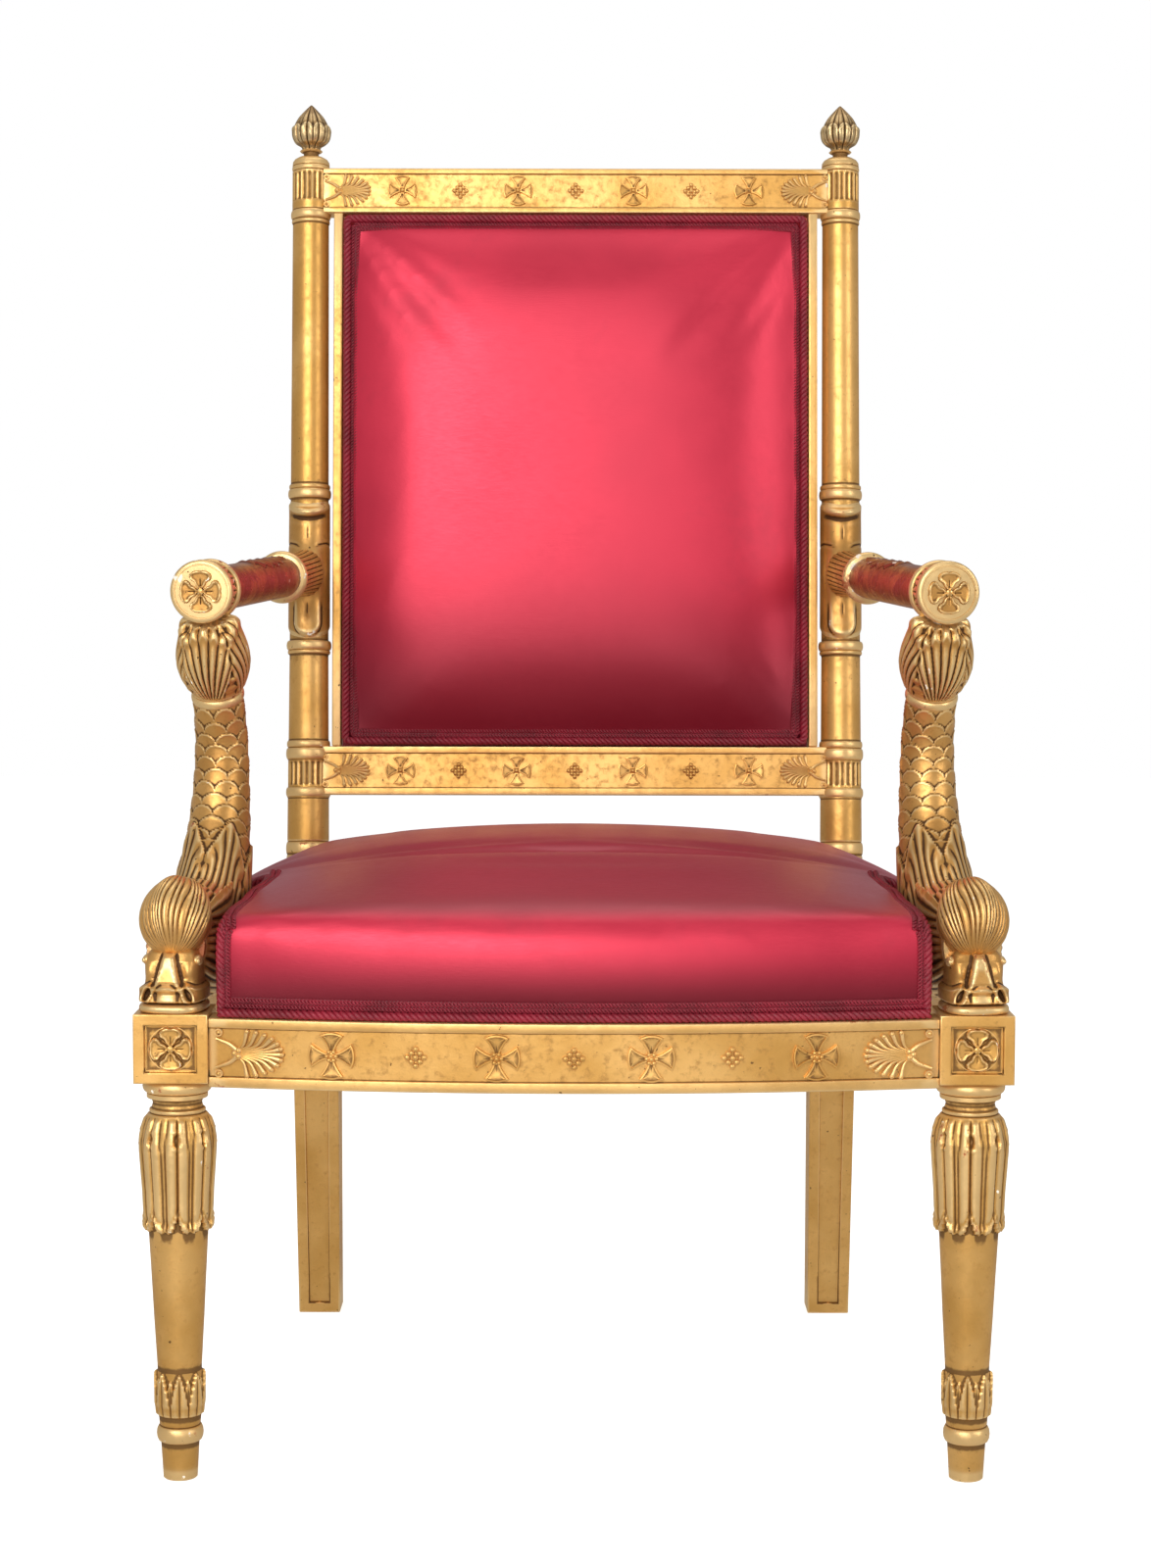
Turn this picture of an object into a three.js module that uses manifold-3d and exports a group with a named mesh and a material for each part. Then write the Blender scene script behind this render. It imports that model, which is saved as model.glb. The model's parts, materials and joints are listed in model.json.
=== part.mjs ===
// A giltwood throne chair: turned and carved front legs, dolphin arm supports, reclined turned
// stiles with bud finials, rails with applied palmettes, crosses and small flowers, and a stuffed
// seat and back edged with rope and braid.
// Millimetres, +Z up, the front towards -Y, the origin under the middle of the whole chair.
import * as THREE from "three";
import { mergeVertices } from "three/addons/utils/BufferGeometryUtils.js";
import Module from "manifold-3d";

const wasm = await Module();
wasm.setup();

// Driving sizes of the whole chair
const fitGap = 0.3; // left between pieces that touch
const blockHalfSpread = 298; // middles of the corner blocks over the front legs
const legInset = 1.4; // the turned legs stand this far inside the blocks' middles
const stileHalfSpread = 241.5; // back stiles
const seatDepth = 470; // front leg axis to stile axis, at the seat rails
const seatRailTop = 353;
const seatRailHeight = 51;
const recline = THREE.MathUtils.degToRad(6);
const armFront = { u: 88, height: 666.5 }; // the arm's front face, back from the leg axis, and its middle
const armRear = { height: 680 };

// Sizes shared by carved and turned pieces
const rosetteRadius = 16.5;
const rosetteRelief = 2.6;
const turnedSides = 12;

// Finishes
const gold = new THREE.MeshStandardMaterial({ color: 0xd9a441, metalness: 0.75, roughness: 0.38 });
const darkGold = new THREE.MeshStandardMaterial({ color: 0x9b7438, metalness: 0.7, roughness: 0.42 });
const bole = new THREE.MeshStandardMaterial({ color: 0xa4622f, metalness: 0.55, roughness: 0.42 });
const satin = new THREE.MeshStandardMaterial({ color: 0xa81c3c, metalness: 0, roughness: 0.42 });
const trim = new THREE.MeshStandardMaterial({ color: 0x6d0c24, metalness: 0, roughness: 0.75 });
const canvas = new THREE.MeshStandardMaterial({ color: 0x8c7a5c, metalness: 0, roughness: 0.95 });

// Solids and meshes

function flipFaces(geometry) {
  const index = geometry.getIndex();
  for (let i = 0; i < index.count; i += 3) {
    const first = index.getX(i);
    index.setX(i, index.getX(i + 1));
    index.setX(i + 1, first);
  }
  return geometry;
}

function enclosedVolume(geometry) {
  const place = geometry.getAttribute("position");
  const index = geometry.getIndex();
  const [a, b, c] = [new THREE.Vector3(), new THREE.Vector3(), new THREE.Vector3()];
  let sixfold = 0;
  for (let i = 0; i < index.count; i += 3) {
    a.fromBufferAttribute(place, index.getX(i));
    b.fromBufferAttribute(place, index.getX(i + 1));
    c.fromBufferAttribute(place, index.getX(i + 2));
    sixfold += a.dot(b.cross(c));
  }
  return sixfold / 6;
}

function solid(geometry) {
  const bare = geometry.clone();
  bare.deleteAttribute("normal");
  bare.deleteAttribute("uv");
  const merged = mergeVertices(bare, 1e-3);
  if (enclosedVolume(merged) < 0) flipFaces(merged);
  return new wasm.Manifold(
    new wasm.Mesh({
      numProp: 3,
      vertProperties: new Float32Array(merged.getAttribute("position").array),
      triVerts: new Uint32Array(merged.getIndex().array),
    }),
  );
}

function joined(...geometries) {
  return geometries.map((g) => solid(g)).reduce((sum, next) => sum.add(next));
}

function geometryOf(body) {
  const mesh = body.getMesh();
  const geometry = new THREE.BufferGeometry();
  geometry.setAttribute("position", new THREE.BufferAttribute(mesh.vertProperties, 3));
  geometry.setIndex(new THREE.BufferAttribute(mesh.triVerts, 1));
  return geometry;
}

function piece(name, body, material) {
  const geometry = geometryOf(body).toNonIndexed();
  geometry.computeVertexNormals();
  const mesh = new THREE.Mesh(geometry, material);
  mesh.name = name;
  return mesh;
}

// The right-hand piece as modelled, and its mirror image on the left
function pair(name, body, material) {
  const left = geometryOf(body);
  left.scale(-1, 1, 1);
  return [piece(`${name}_right`, body, material), piece(`${name}_left`, solid(left), material)];
}

// Basic shapes, all with their length or axis along +Z

function box(x0, x1, y0, y1, z0, z1) {
  const geometry = new THREE.BoxGeometry(x1 - x0, y1 - y0, z1 - z0);
  return geometry.translate((x0 + x1) / 2, (y0 + y1) / 2, (z0 + z1) / 2);
}

// profile is a list of [height, radius]; carve changes the radius at an angle and a height
function turned(profile, sides, carve = (radius) => radius) {
  const ends = [[profile[0][0], 0], ...profile, [profile.at(-1)[0], 0]];
  const outline = ends.map(([height, radius]) => new THREE.Vector2(radius, height));
  const geometry = new THREE.LatheGeometry(outline, sides).rotateX(Math.PI / 2);
  const place = geometry.getAttribute("position");
  for (let i = 0; i < place.count; i += 1) {
    const [x, y, z] = [place.getX(i), place.getY(i), place.getZ(i)];
    const radius = Math.hypot(x, y);
    if (radius > 0) {
      const share = carve(radius, Math.atan2(y, x), z) / radius;
      place.setXYZ(i, x * share, y * share, z);
    }
  }
  return geometry;
}

function prism(outline, low, high) {
  const shape = new THREE.Shape(outline.map(([x, y]) => new THREE.Vector2(x, y)));
  return new THREE.ExtrudeGeometry(shape, { depth: high - low, bevelEnabled: false }).translate(0, 0, low);
}

// A skin over rings of points, each ring with as many points, closed by a flat cap at both ends
function loft(rings) {
  const sides = rings[0].length;
  const points = rings.flat();
  const faces = [];
  for (let r = 0; r + 1 < rings.length; r += 1) {
    for (let s = 0; s < sides; s += 1) {
      const [a, b] = [r * sides + s, r * sides + ((s + 1) % sides)];
      faces.push(a, b, b + sides, a, b + sides, a + sides);
    }
  }
  const last = (rings.length - 1) * sides;
  for (let s = 1; s + 1 < sides; s += 1) {
    faces.push(0, s + 1, s, last, last + s, last + s + 1);
  }
  const geometry = new THREE.BufferGeometry().setFromPoints(points);
  geometry.setIndex(faces);
  return geometry;
}

// Sections are { y, z, across, through }: ellipses square to their path in the YZ plane
function sweptBody(sections, sides) {
  const path = new THREE.CatmullRomCurve3(sections.map(({ y, z }) => new THREE.Vector3(0, y, z)));
  const rings = sections.map(({ y, z, across, through }, i) => {
    const along = path.getTangent(i / (sections.length - 1));
    const normal = new THREE.Vector3(0, -along.z, along.y);
    return Array.from({ length: sides }, (_, s) => {
      const angle = (2 * Math.PI * s) / sides;
      const point = new THREE.Vector3(across * Math.cos(angle), y, z);
      return point.addScaledVector(normal, through * Math.sin(angle));
    });
  });
  return loft(rings);
}

// A round cord along straight runs, mitred at each corner
function cordAlong(corners, radius, sides = 6) {
  const direction = (i) => new THREE.Vector3().subVectors(corners[i + 1], corners[i]).normalize();
  let across = new THREE.Vector3(0, 0, 1);
  const rings = corners.map((corner, i) => {
    const before = direction(Math.max(i - 1, 0));
    const after = direction(Math.min(i, corners.length - 2));
    if (Math.abs(across.dot(before)) > 0.9) across = new THREE.Vector3(0, 1, 0);
    across.addScaledVector(before, -across.dot(before)).normalize();
    const side = new THREE.Vector3().crossVectors(before, across);
    const mitre = new THREE.Vector3().addVectors(before, after).normalize();
    return Array.from({ length: sides }, (_, s) => {
      const angle = (2 * Math.PI * s) / sides;
      const spoke = across.clone().multiplyScalar(radius * Math.cos(angle));
      spoke.addScaledVector(side, radius * Math.sin(angle));
      return spoke.addScaledVector(before, -spoke.dot(mitre) / before.dot(mitre)).add(corner);
    });
  });
  return solid(loft(rings));
}

// Applied and carved ornaments, standing on the XY plane

function polarOutline(points, radiusAt) {
  return Array.from({ length: points }, (_, i) => {
    const angle = (2 * Math.PI * i) / points;
    const radius = radiusAt(angle);
    return [radius * Math.cos(angle), radius * Math.sin(angle)];
  });
}

// Four broad petals round a boss
function rosette(radius, relief) {
  const petals = polarOutline(12, (angle) => radius * (0.62 + 0.38 * Math.abs(Math.cos(2 * angle)) ** 0.5));
  const boss = turned([[relief, radius * 0.22], [relief * 1.5, radius * 0.12]], 6);
  return [prism(petals, 0, relief), boss.translate(0, 0, -fitGap)];
}

// A cross with four arms that widen outwards to curved ends
function crossOutline(radius) {
  const halfEnd = THREE.MathUtils.degToRad(30);
  const neck = radius * 0.22;
  const arms = [0, 1, 2, 3].map((quarter) => {
    const middle = (quarter * Math.PI) / 2;
    const end = [-1, 0, 1].map((side) => {
      const angle = middle + side * halfEnd;
      return [radius * Math.cos(angle), radius * Math.sin(angle)];
    });
    const crook = middle + Math.PI / 4;
    return [...end, [neck * Math.cos(crook), neck * Math.sin(crook)]];
  });
  return arms.flat();
}

function flowerOutline(radius) {
  return polarOutline(8, (angle) => radius * (0.82 + 0.18 * Math.cos(4 * angle)));
}

// A fan of leaves towards +X from a pair of curled stems that start at x = 0
function palmetteOutline(length, height) {
  const heart = length * 0.42;
  const leaves = 9;
  const fan = [];
  for (let i = 0; i < leaves * 2 - 1; i += 1) {
    const angle = THREE.MathUtils.degToRad(-108 + (216 * i) / (leaves * 2 - 2));
    const reach = i % 2 ? 0.78 : 1;
    const across = (height / 2) * Math.sin(angle) * reach;
    const along = (length - heart) * Math.max(Math.cos(angle), -0.35) * reach;
    fan.push([heart + along, across]);
  }
  const stem = height / 2;
  const upper = [[0, stem], [0, stem * 0.55], [length * 0.1, stem * 0.55], [heart * 0.75, stem * 0.12]];
  return [...fan, ...upper, ...upper.map(([x, y]) => [x, -y]).reverse()];
}

// Front leg: a turned leg with a leaf sleeve and a leaf cup, under a square block with sunk panels

const leg = {
  foot: 12.8,
  shaftFoot: 16.7,
  shaftTop: 22.3,
  sleeve: 27.9,
  cup: 18.7,
  neck: 18.7,
  collar: 26.1,
  leaves: 8,
  cupLow: 0.164,
  cupHigh: 0.2726,
  sleeveLow: 0.6273,
  sleeveHigh: 0.8982,
};
const block = { size: 55, bottom: seatRailTop - 48.5, top: seatRailTop + 3, border: 8, sunk: 3 };
// Heights up the leg are shares of the block's height above the floor
const legProfile = [
  [0, leg.foot - 0.6],
  [0.092, leg.foot + 1.2],
  [0.102, leg.shaftFoot + 0.9],
  [0.1315, leg.shaftFoot + 0.7],
  [0.1445, leg.shaftFoot - 1.4],
  [leg.cupLow, leg.cup - 2],
  [leg.cupHigh, leg.cup],
  [leg.cupHigh + 0.0016, leg.shaftFoot],
  [leg.sleeveLow, leg.shaftTop],
  [leg.sleeveLow + 0.0016, leg.sleeve - 3.4],
  [0.7816, leg.sleeve - 0.9],
  [0.8506, leg.sleeve],
  [0.8768, leg.sleeve - 1.8],
  [leg.sleeveHigh, leg.neck + 3.6],
  [0.913, leg.neck],
  [0.9458, leg.neck + 0.8],
  [0.9557, leg.collar - 2.4],
  [0.982, leg.collar],
  [1.003, leg.collar - 0.4],
].map(([share, radius]) => [share * block.bottom, radius]);

function carveLeg(radius, angle, height) {
  const seam = 0.5 + 0.5 * Math.cos(leg.leaves * angle);
  const share = height / block.bottom;
  const onSleeve = share > leg.sleeveLow + 0.001 && share < leg.sleeveHigh - 0.001;
  const onCup = share > leg.cupLow - 0.001 && share < leg.cupHigh + 0.001;
  return onSleeve || onCup ? radius * (0.93 + 0.07 * seam) : radius;
}

function sunkPanel(x0, x1, z0, z1, front, depth) {
  return solid(box(x0, x1, front - 1, front + depth, z0, z1));
}

function frontLeg() {
  const half = block.size / 2;
  const middle = (block.bottom + block.top) / 2;
  const edge = half - block.border;
  let blockBody = solid(box(-half, half, -half, half, block.bottom, block.top));
  blockBody = blockBody.subtract(
    sunkPanel(-edge, edge, block.bottom + block.border, block.top - block.border, -half, block.sunk),
  );
  const side = solid(
    box(half - block.sunk, half + 1, -edge, edge, block.bottom + block.border, block.top - block.border),
  );
  blockBody = blockBody.subtract(side);
  for (const part of rosette(rosetteRadius, rosetteRelief)) {
    const sunkAt = -half + block.sunk + fitGap;
    blockBody = blockBody.add(solid(part.clone().rotateX(Math.PI / 2).translate(0, sunkAt, middle)));
    blockBody = blockBody.add(solid(part.clone().rotateY(Math.PI / 2).translate(-sunkAt, 0, middle)));
  }
  const column = solid(turned(legProfile, leg.leaves * 2, carveLeg).translate(-legInset, 0, 0));
  return blockBody.add(column).translate(blockHalfSpread, 0, 0);
}

// Rear upright: a square splayed leg that turns into a reclined round stile with rings and flutes.
// The stile is described along its own axis, from the pivot at the top of the seat rails.

const pivot = new THREE.Vector3(stileHalfSpread, seatDepth, seatRailTop - 3);
const stile = { foot: 18.9, top: 16.3, ring: 20.4, topRing: 17.3, neck: 7.2, neckTop: 717.7, flutes: 12 };
const bottomRail = { low: 129.5, high: 173, bead: 6.2 };
const topRail = { low: 658.8, high: 699.2, bead: 5.2 };
const armRearAt = (armRear.height - pivot.z) / Math.cos(recline); // up the stile's own axis
const saddle = { low: armRearAt - 53.8, high: armRearAt + 59.2 };
const backLeg = {
  halfSpread: stileHalfSpread - 7.5,
  foot: 37.5,
  head: 42.5,
  footFront: seatDepth + 18,
  headFront: seatDepth - 21,
  border: 8.5,
  sunk: 2,
};

function stileRadius(height) {
  return THREE.MathUtils.lerp(stile.foot, stile.top, height / topRail.low);
}

function plain(low, high) {
  return [[low, stileRadius(low)], [high, stileRadius(high)]];
}

function ring(low, high, radius) {
  return [[low, radius], [high, radius]];
}

const stileProfile = [
  [2, stileRadius(2) + 1],
  ...ring(bottomRail.low - 52, bottomRail.low - 43, stile.ring),
  ...plain(bottomRail.low - 42.5, bottomRail.low - 1.5),
  ...ring(bottomRail.low - 1, bottomRail.low + 6.4, stile.ring),
  ...ring(bottomRail.low + 6.9, bottomRail.high - 12, stileRadius(0) - 4),
  ...ring(bottomRail.high - 11.5, bottomRail.high + 5, stile.ring),
  ...plain(bottomRail.high + 5.5, saddle.low - 21.5),
  ...ring(saddle.low - 21, saddle.low - 9, stile.ring - 0.3),
  ...plain(saddle.low - 8.5, saddle.high + 7),
  ...ring(saddle.high + 7.5, saddle.high + 20, stile.ring - 1.1),
  ...plain(saddle.high + 20.5, topRail.low - 9),
  ...ring(topRail.low - 8.5, topRail.low + 3.7, stile.topRing),
  ...ring(topRail.low + 4.2, topRail.high - 2.5, stile.top - 3.6),
  ...ring(topRail.high - 2, topRail.high + 4, stile.topRing),
  [topRail.high + 9, stile.topRing - 3.6],
  [topRail.high + 12.5, stile.neck + 1.5],
  [topRail.high + 13.5, stile.neck],
  [stile.neckTop, stile.neck],
];

function flutedBand(low, high, radius) {
  const cut = (r, angle) => r * (0.96 + 0.04 * Math.cos(stile.flutes * angle));
  return turned([[low, radius + 0.5], [high, radius + 0.5]], stile.flutes * 2, cut);
}

// The square leg's size and front face at a height above the floor
function backLegAt(z) {
  const rise = THREE.MathUtils.clamp(z / (pivot.z - 50), 0, 1);
  const size = THREE.MathUtils.lerp(backLeg.foot, backLeg.head, rise);
  const front = THREE.MathUtils.lerp(backLeg.footFront, backLeg.headFront, rise) - seatDepth;
  return { size, front, x: backLeg.halfSpread - stileHalfSpread };
}

function rearUpright() {
  const ringAt = (z, inset, from, to) => {
    const { size, front, x } = backLegAt(z);
    const half = size / 2 - inset;
    return [[-half, from], [half, from], [half, to(size)], [-half, to(size)]].map(
      ([dx, dy]) => new THREE.Vector3(x + dx, front + dy, z - pivot.z),
    );
  };
  const levels = [0, pivot.z - 50, seatRailTop];
  let body = solid(loft(levels.map((z) => ringAt(z, 0, 0, (size) => size))));
  const panelEnds = [15, seatRailTop - seatRailHeight - 5];
  body = body.subtract(solid(loft(panelEnds.map((z) => ringAt(z, backLeg.border, -2, () => backLeg.sunk)))));
  body = body.add(solid(turned(stileProfile, turnedSides).rotateX(-recline)));
  const bands = [
    flutedBand(bottomRail.low + 6, bottomRail.high - 11, stileRadius(0) - 1),
    flutedBand(topRail.low + 3, topRail.high - 1, stile.top - 0.6),
  ];
  for (const band of bands) body = body.add(solid(band.rotateX(-recline)));
  return body.translate(...pivot.toArray());
}

// Finial: a closed bud of pointed leaves on a small flared disc

const finial = { height: 41.7, radius: 16.7, leaves: 6 };

function finialBud() {
  const shares = [
    [0, 0.6],
    [0.05, 0.55],
    [0.13, 0.72],
    [0.3, 1],
    [0.55, 0.92],
    [0.82, 0.5],
    [1, 0.06],
  ];
  const profile = shares.map(([up, out]) => [finial.height * up, finial.radius * out]);
  const cut = (radius, angle, height) =>
    height > finial.height * 0.1 ? radius * (0.95 + 0.05 * Math.cos(finial.leaves * angle)) : radius;
  return solid(turned(profile, finial.leaves * 2, cut));
}

// Seat rails: each has a bead along its top and bottom edge and a sunk field between them

const seatRail = { thickness: 32, bead: 7.5, sunk: 2.2, bow: 26, frontEnd: -24 };
const seatRailBottom = seatRailTop - seatRailHeight;

const bowChord = blockHalfSpread - block.size / 2 - fitGap;
const bowRadius = (bowChord ** 2 + seatRail.bow ** 2) / (2 * seatRail.bow);

// The bowed front at x, set back by an offset from the rail's face
function bowedY(x, offset) {
  return seatRail.frontEnd - seatRail.bow + bowRadius - Math.sqrt((bowRadius - offset) ** 2 - x ** 2);
}

function bowedFront(halfWidth, offset, steps) {
  return Array.from({ length: steps + 1 }, (_, i) => {
    const x = -halfWidth + (2 * halfWidth * i) / steps;
    return [x, bowedY(x, offset)];
  });
}

function frontRail() {
  const back = seatRail.frontEnd + seatRail.thickness;
  const layer = (offset, low, high) => {
    const outline = [...bowedFront(bowChord, offset, 10), [bowChord, back], [-bowChord, back]];
    return prism(outline, low, high);
  };
  return joined(
    layer(seatRail.sunk, seatRailBottom + 1, seatRailTop - 1),
    layer(0, seatRailBottom, seatRailBottom + seatRail.bead),
    layer(0, seatRailTop - seatRail.bead, seatRailTop),
  );
}

const sideRailLine = {
  front: new THREE.Vector2(blockHalfSpread + block.size / 2 - 3, block.size / 2 + fitGap),
  rear: new THREE.Vector2(backLeg.halfSpread + backLeg.head / 2 - 2, backLeg.headFront - fitGap),
};

function sideRail() {
  const { front, rear } = sideRailLine;
  const layer = (inset, low, high) => {
    const outline = [
      [front.x - inset, front.y],
      [rear.x - inset, rear.y],
      [rear.x - seatRail.thickness, rear.y],
      [front.x - seatRail.thickness, front.y],
    ];
    return prism(outline, low, high);
  };
  return joined(
    layer(seatRail.sunk, seatRailBottom + 1, seatRailTop - 1),
    layer(0, seatRailBottom, seatRailBottom + seatRail.bead),
    layer(0, seatRailTop - seatRail.bead, seatRailTop),
  );
}

const rearRailInset = 6;
const rearRailThickness = 28;
const rearRail = {
  front: backLeg.headFront + rearRailInset,
  back: backLeg.headFront + rearRailInset + rearRailThickness,
};

function rearSeatRail() {
  const half = backLeg.halfSpread - backLeg.head / 2 - fitGap;
  return solid(box(-half, half, rearRail.front, rearRail.back, seatRailBottom, seatRailTop));
}

// Webbing and canvas stretched inside the rails, under the stuffing
const canvasThickness = 5;

function seatCanvas() {
  const front = seatRail.frontEnd + seatRail.thickness + fitGap;
  const inside = (y) => {
    const share = (y - sideRailLine.front.y) / (sideRailLine.rear.y - sideRailLine.front.y);
    return THREE.MathUtils.lerp(sideRailLine.front.x, sideRailLine.rear.x, share) - seatRail.thickness - 1;
  };
  const cornerBack = block.size / 2 + 1;
  const cornerIn = blockHalfSpread - block.size / 2 - 1;
  const backIn = backLeg.halfSpread - backLeg.head / 2 - 1;
  const rear = rearRail.front - fitGap;
  const right = [
    [cornerIn, front],
    [cornerIn, cornerBack],
    [inside(cornerBack), cornerBack],
    [inside(backLeg.headFront - 1), backLeg.headFront - 1],
    [backIn, backLeg.headFront - 1],
    [backIn, rear],
  ];
  const outline = [...right, ...right.map(([x, y]) => [-x, y]).reverse()];
  return solid(prism(outline, seatRailTop - canvasThickness, seatRailTop));
}

// Stuffed seat: upright sides with a domed top, notched round the arm supports and the stiles

const cord = { radius: 3.4 };
const braid = { width: 8.5, thickness: 1.8 };
const seatPad = { crease: 422, dome: 45, notchDepth: 178, rear: rearRail.back - 3 };
const padInset = 2 * cord.radius + 2 * fitGap;

// The side rail's outer face at a depth y
function sideFace(y) {
  const { front, rear } = sideRailLine;
  return THREE.MathUtils.mapLinear(y, front.y, rear.y, front.x, rear.x);
}

const armLine = Math.atan2(blockHalfSpread - stileHalfSpread, seatDepth);

// The inner side of the notch that the arm support stands in
function notchSide(y) {
  return blockHalfSpread - block.size / 2 - (y - seatRail.frontEnd) * Math.tan(armLine) - padInset;
}

function seatOutline(notchInset = 0) {
  const frontHalf = notchSide(seatRail.frontEnd) - notchInset;
  const front = bowedFront(frontHalf, padInset, 8);
  const stileFront = seatDepth - stile.ring - 5;
  const stileSide = stileHalfSpread - stile.ring - 5;
  const right = [
    [notchSide(seatPad.notchDepth), seatPad.notchDepth],
    [sideFace(seatPad.notchDepth) - padInset, seatPad.notchDepth],
    [sideFace(stileFront) - padInset, stileFront],
    [stileSide, stileFront],
    [stileSide, seatPad.rear],
  ];
  return [...front, ...right, ...right.map(([x, y]) => [-x, y]).reverse()];
}

function domeHeight(x, y) {
  const halfWidth = blockHalfSpread;
  const middle = seatDepth * 0.46;
  const halfDepth = seatDepth * 0.62;
  const across = Math.max(0, 1 - (x / halfWidth) ** 2);
  const along = Math.max(0, 1 - ((y - middle) / halfDepth) ** 2);
  return seatPad.crease + seatPad.dome * Math.sqrt(across * along) ** 1.1;
}

function seatStuffing() {
  const steps = 8;
  const [x0, x1, y0, y1] = [-blockHalfSpread, blockHalfSpread, -70, seatPad.rear + 10];
  const dome = new THREE.BoxGeometry(x1 - x0, y1 - y0, 1, steps, steps, 1);
  dome.translate((x0 + x1) / 2, (y0 + y1) / 2, 0);
  const corner = dome.getAttribute("position");
  for (let i = 0; i < corner.count; i += 1) {
    const upper = corner.getZ(i) > 0;
    corner.setZ(i, upper ? domeHeight(corner.getX(i), corner.getY(i)) : seatRailTop - 10);
  }
  const body = solid(prism(seatOutline(), seatRailTop + fitGap, seatPad.crease + seatPad.dome + 20));
  return body.intersect(solid(dome));
}

// Rope round the foot of the seat, up its front corners and round the notches
function seatCordFront() {
  const half = notchSide(seatRail.frontEnd) - cord.radius * 2;
  const height = seatRailTop + cord.radius + fitGap;
  const points = bowedFront(half, cord.radius, 8).map(([x, y]) => new THREE.Vector3(x, y, height));
  return cordAlong(points, cord.radius);
}

function seatCordSide() {
  const low = seatRailTop + cord.radius + fitGap;
  const out = padInset - cord.radius;
  const frontY = bowedFront(notchSide(seatRail.frontEnd), cord.radius, 2)[0][1];
  const backY = seatPad.notchDepth - out;
  const top = seatPad.crease;
  const stileFront = seatDepth - stile.ring - 5;
  const route = [
    [notchSide(seatRail.frontEnd) + out, frontY, low],
    [notchSide(seatRail.frontEnd) + out, frontY, top],
    [notchSide(backY) + out, backY, top + 8],
    [sideFace(backY) - cord.radius, backY, top],
    [sideFace(backY) - cord.radius, backY, low],
    [sideFace(stileFront) - cord.radius, stileFront, low],
  ];
  return cordAlong(route.map(([x, y, z]) => new THREE.Vector3(x, y, z)), cord.radius);
}

// Back: rails and frame strips between the stiles, in the stiles' own reclined frame

const backRail = { face: -12.5, back: 12.5, sunk: 2 };
const frameStrip = { inner: stileHalfSpread - 30, outer: stileHalfSpread - 22, face: -12, back: 12 };

function backCrossRail({ low, high, bead }, endRadius) {
  const half = stileHalfSpread;
  const sunkFace = backRail.face + backRail.sunk;
  const bar = joined(
    box(-half, half, sunkFace, backRail.back, low + 1, high - 1),
    box(-half, half, backRail.face, backRail.back, low, low + bead),
    box(-half, half, backRail.face, backRail.back, high - bead, high),
  );
  const notchRadius = endRadius + 2 * fitGap;
  const notch = new THREE.CylinderGeometry(notchRadius, notchRadius, high - low + 20, 20);
  notch.rotateX(Math.PI / 2).translate(0, 0, (low + high) / 2);
  const right = solid(notch.clone().translate(stileHalfSpread, 0, 0));
  const left = solid(notch.clone().translate(-stileHalfSpread, 0, 0));
  return bar.subtract(right).subtract(left);
}

const backPad = {
  half: frameStrip.inner - fitGap,
  low: bottomRail.high + fitGap,
  high: topRail.low - fitGap,
  face: -11,
  crown: 20,
  back: 5,
};

// A frame of even width round a rectangle, lying in the XZ plane
function ringLoop(half, low, high, width, front, back) {
  const corners = (inset) => {
    const [w, z0, z1] = [half - inset, low + inset, high - inset];
    return [[-w, z0], [w, z0], [w, z1], [-w, z1]].map(([x, z]) => new THREE.Vector2(x, z));
  };
  const shape = new THREE.Shape(corners(0));
  shape.holes.push(new THREE.Path(corners(width)));
  const loop = new THREE.ExtrudeGeometry(shape, { depth: back - front, bevelEnabled: false });
  return solid(loop.rotateX(Math.PI / 2).translate(0, back, 0));
}

function backStuffing() {
  const { half, low, high, face, crown, back } = backPad;
  const edge = 2 * cord.radius + braid.width + 2 * fitGap;
  const base = box(-half, half, face, back, low, high);
  const rows = [
    [0, 0],
    [7, 0.45],
    [24, 0.78],
    [70, 0.96],
  ];
  const rings = rows.map(([inset, share]) => {
    const w = half - edge - inset;
    const [z0, z1] = [low + edge + inset, high - edge - inset];
    const corners = [[-w, z0], [w, z0], [w, z1], [-w, z1]];
    return corners.map(([x, z]) => new THREE.Vector3(x, face - crown * share, z));
  });
  const seat = rings[0].map(({ x, z }) => new THREE.Vector3(x, face + 2, z));
  return joined(base, loft([seat, ...rings]));
}

// Arm: a front drum with a rosette, a round bar, a rear ring and a leaf saddle on the stile.
// It lies along a line from over the arm support to the stile, with +Y towards the stile.

const arm = { drum: 24.5, drumLength: 40, bar: 17.7, rearRing: 23, rearRingAt: 298, sunk: 2.2 };

const armStart = new THREE.Vector3(
  blockHalfSpread - armFront.u * Math.sin(armLine),
  armFront.u * Math.cos(armLine),
  armFront.height,
);
const armEnd = new THREE.Vector3(
  stileHalfSpread,
  seatDepth + (armRear.height - pivot.z) * Math.tan(recline),
  armRear.height,
);
const armLength = armStart.distanceTo(armEnd);

// Moves a geometry from the arm's own frame, with its length along +Z, to its place in the chair
function placeOnArm(geometry) {
  const along = new THREE.Vector3().subVectors(armEnd, armStart).normalize();
  const across = new THREE.Vector3(along.y, -along.x, 0).normalize();
  const up = new THREE.Vector3().crossVectors(along, across).negate();
  const frame = new THREE.Matrix4().makeBasis(across, up, along).setPosition(armStart);
  return geometry.applyMatrix4(frame);
}

// A round cutter whose flats stand at the radius, so that nothing inside it is touched
function stileSleeve(radius, low, high, sides) {
  const corner = radius / Math.cos(Math.PI / sides);
  const sleeve = new THREE.CylinderGeometry(corner, corner, high - low, sides);
  return sleeve.rotateX(Math.PI / 2).translate(0, 0, (low + high) / 2);
}

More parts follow.
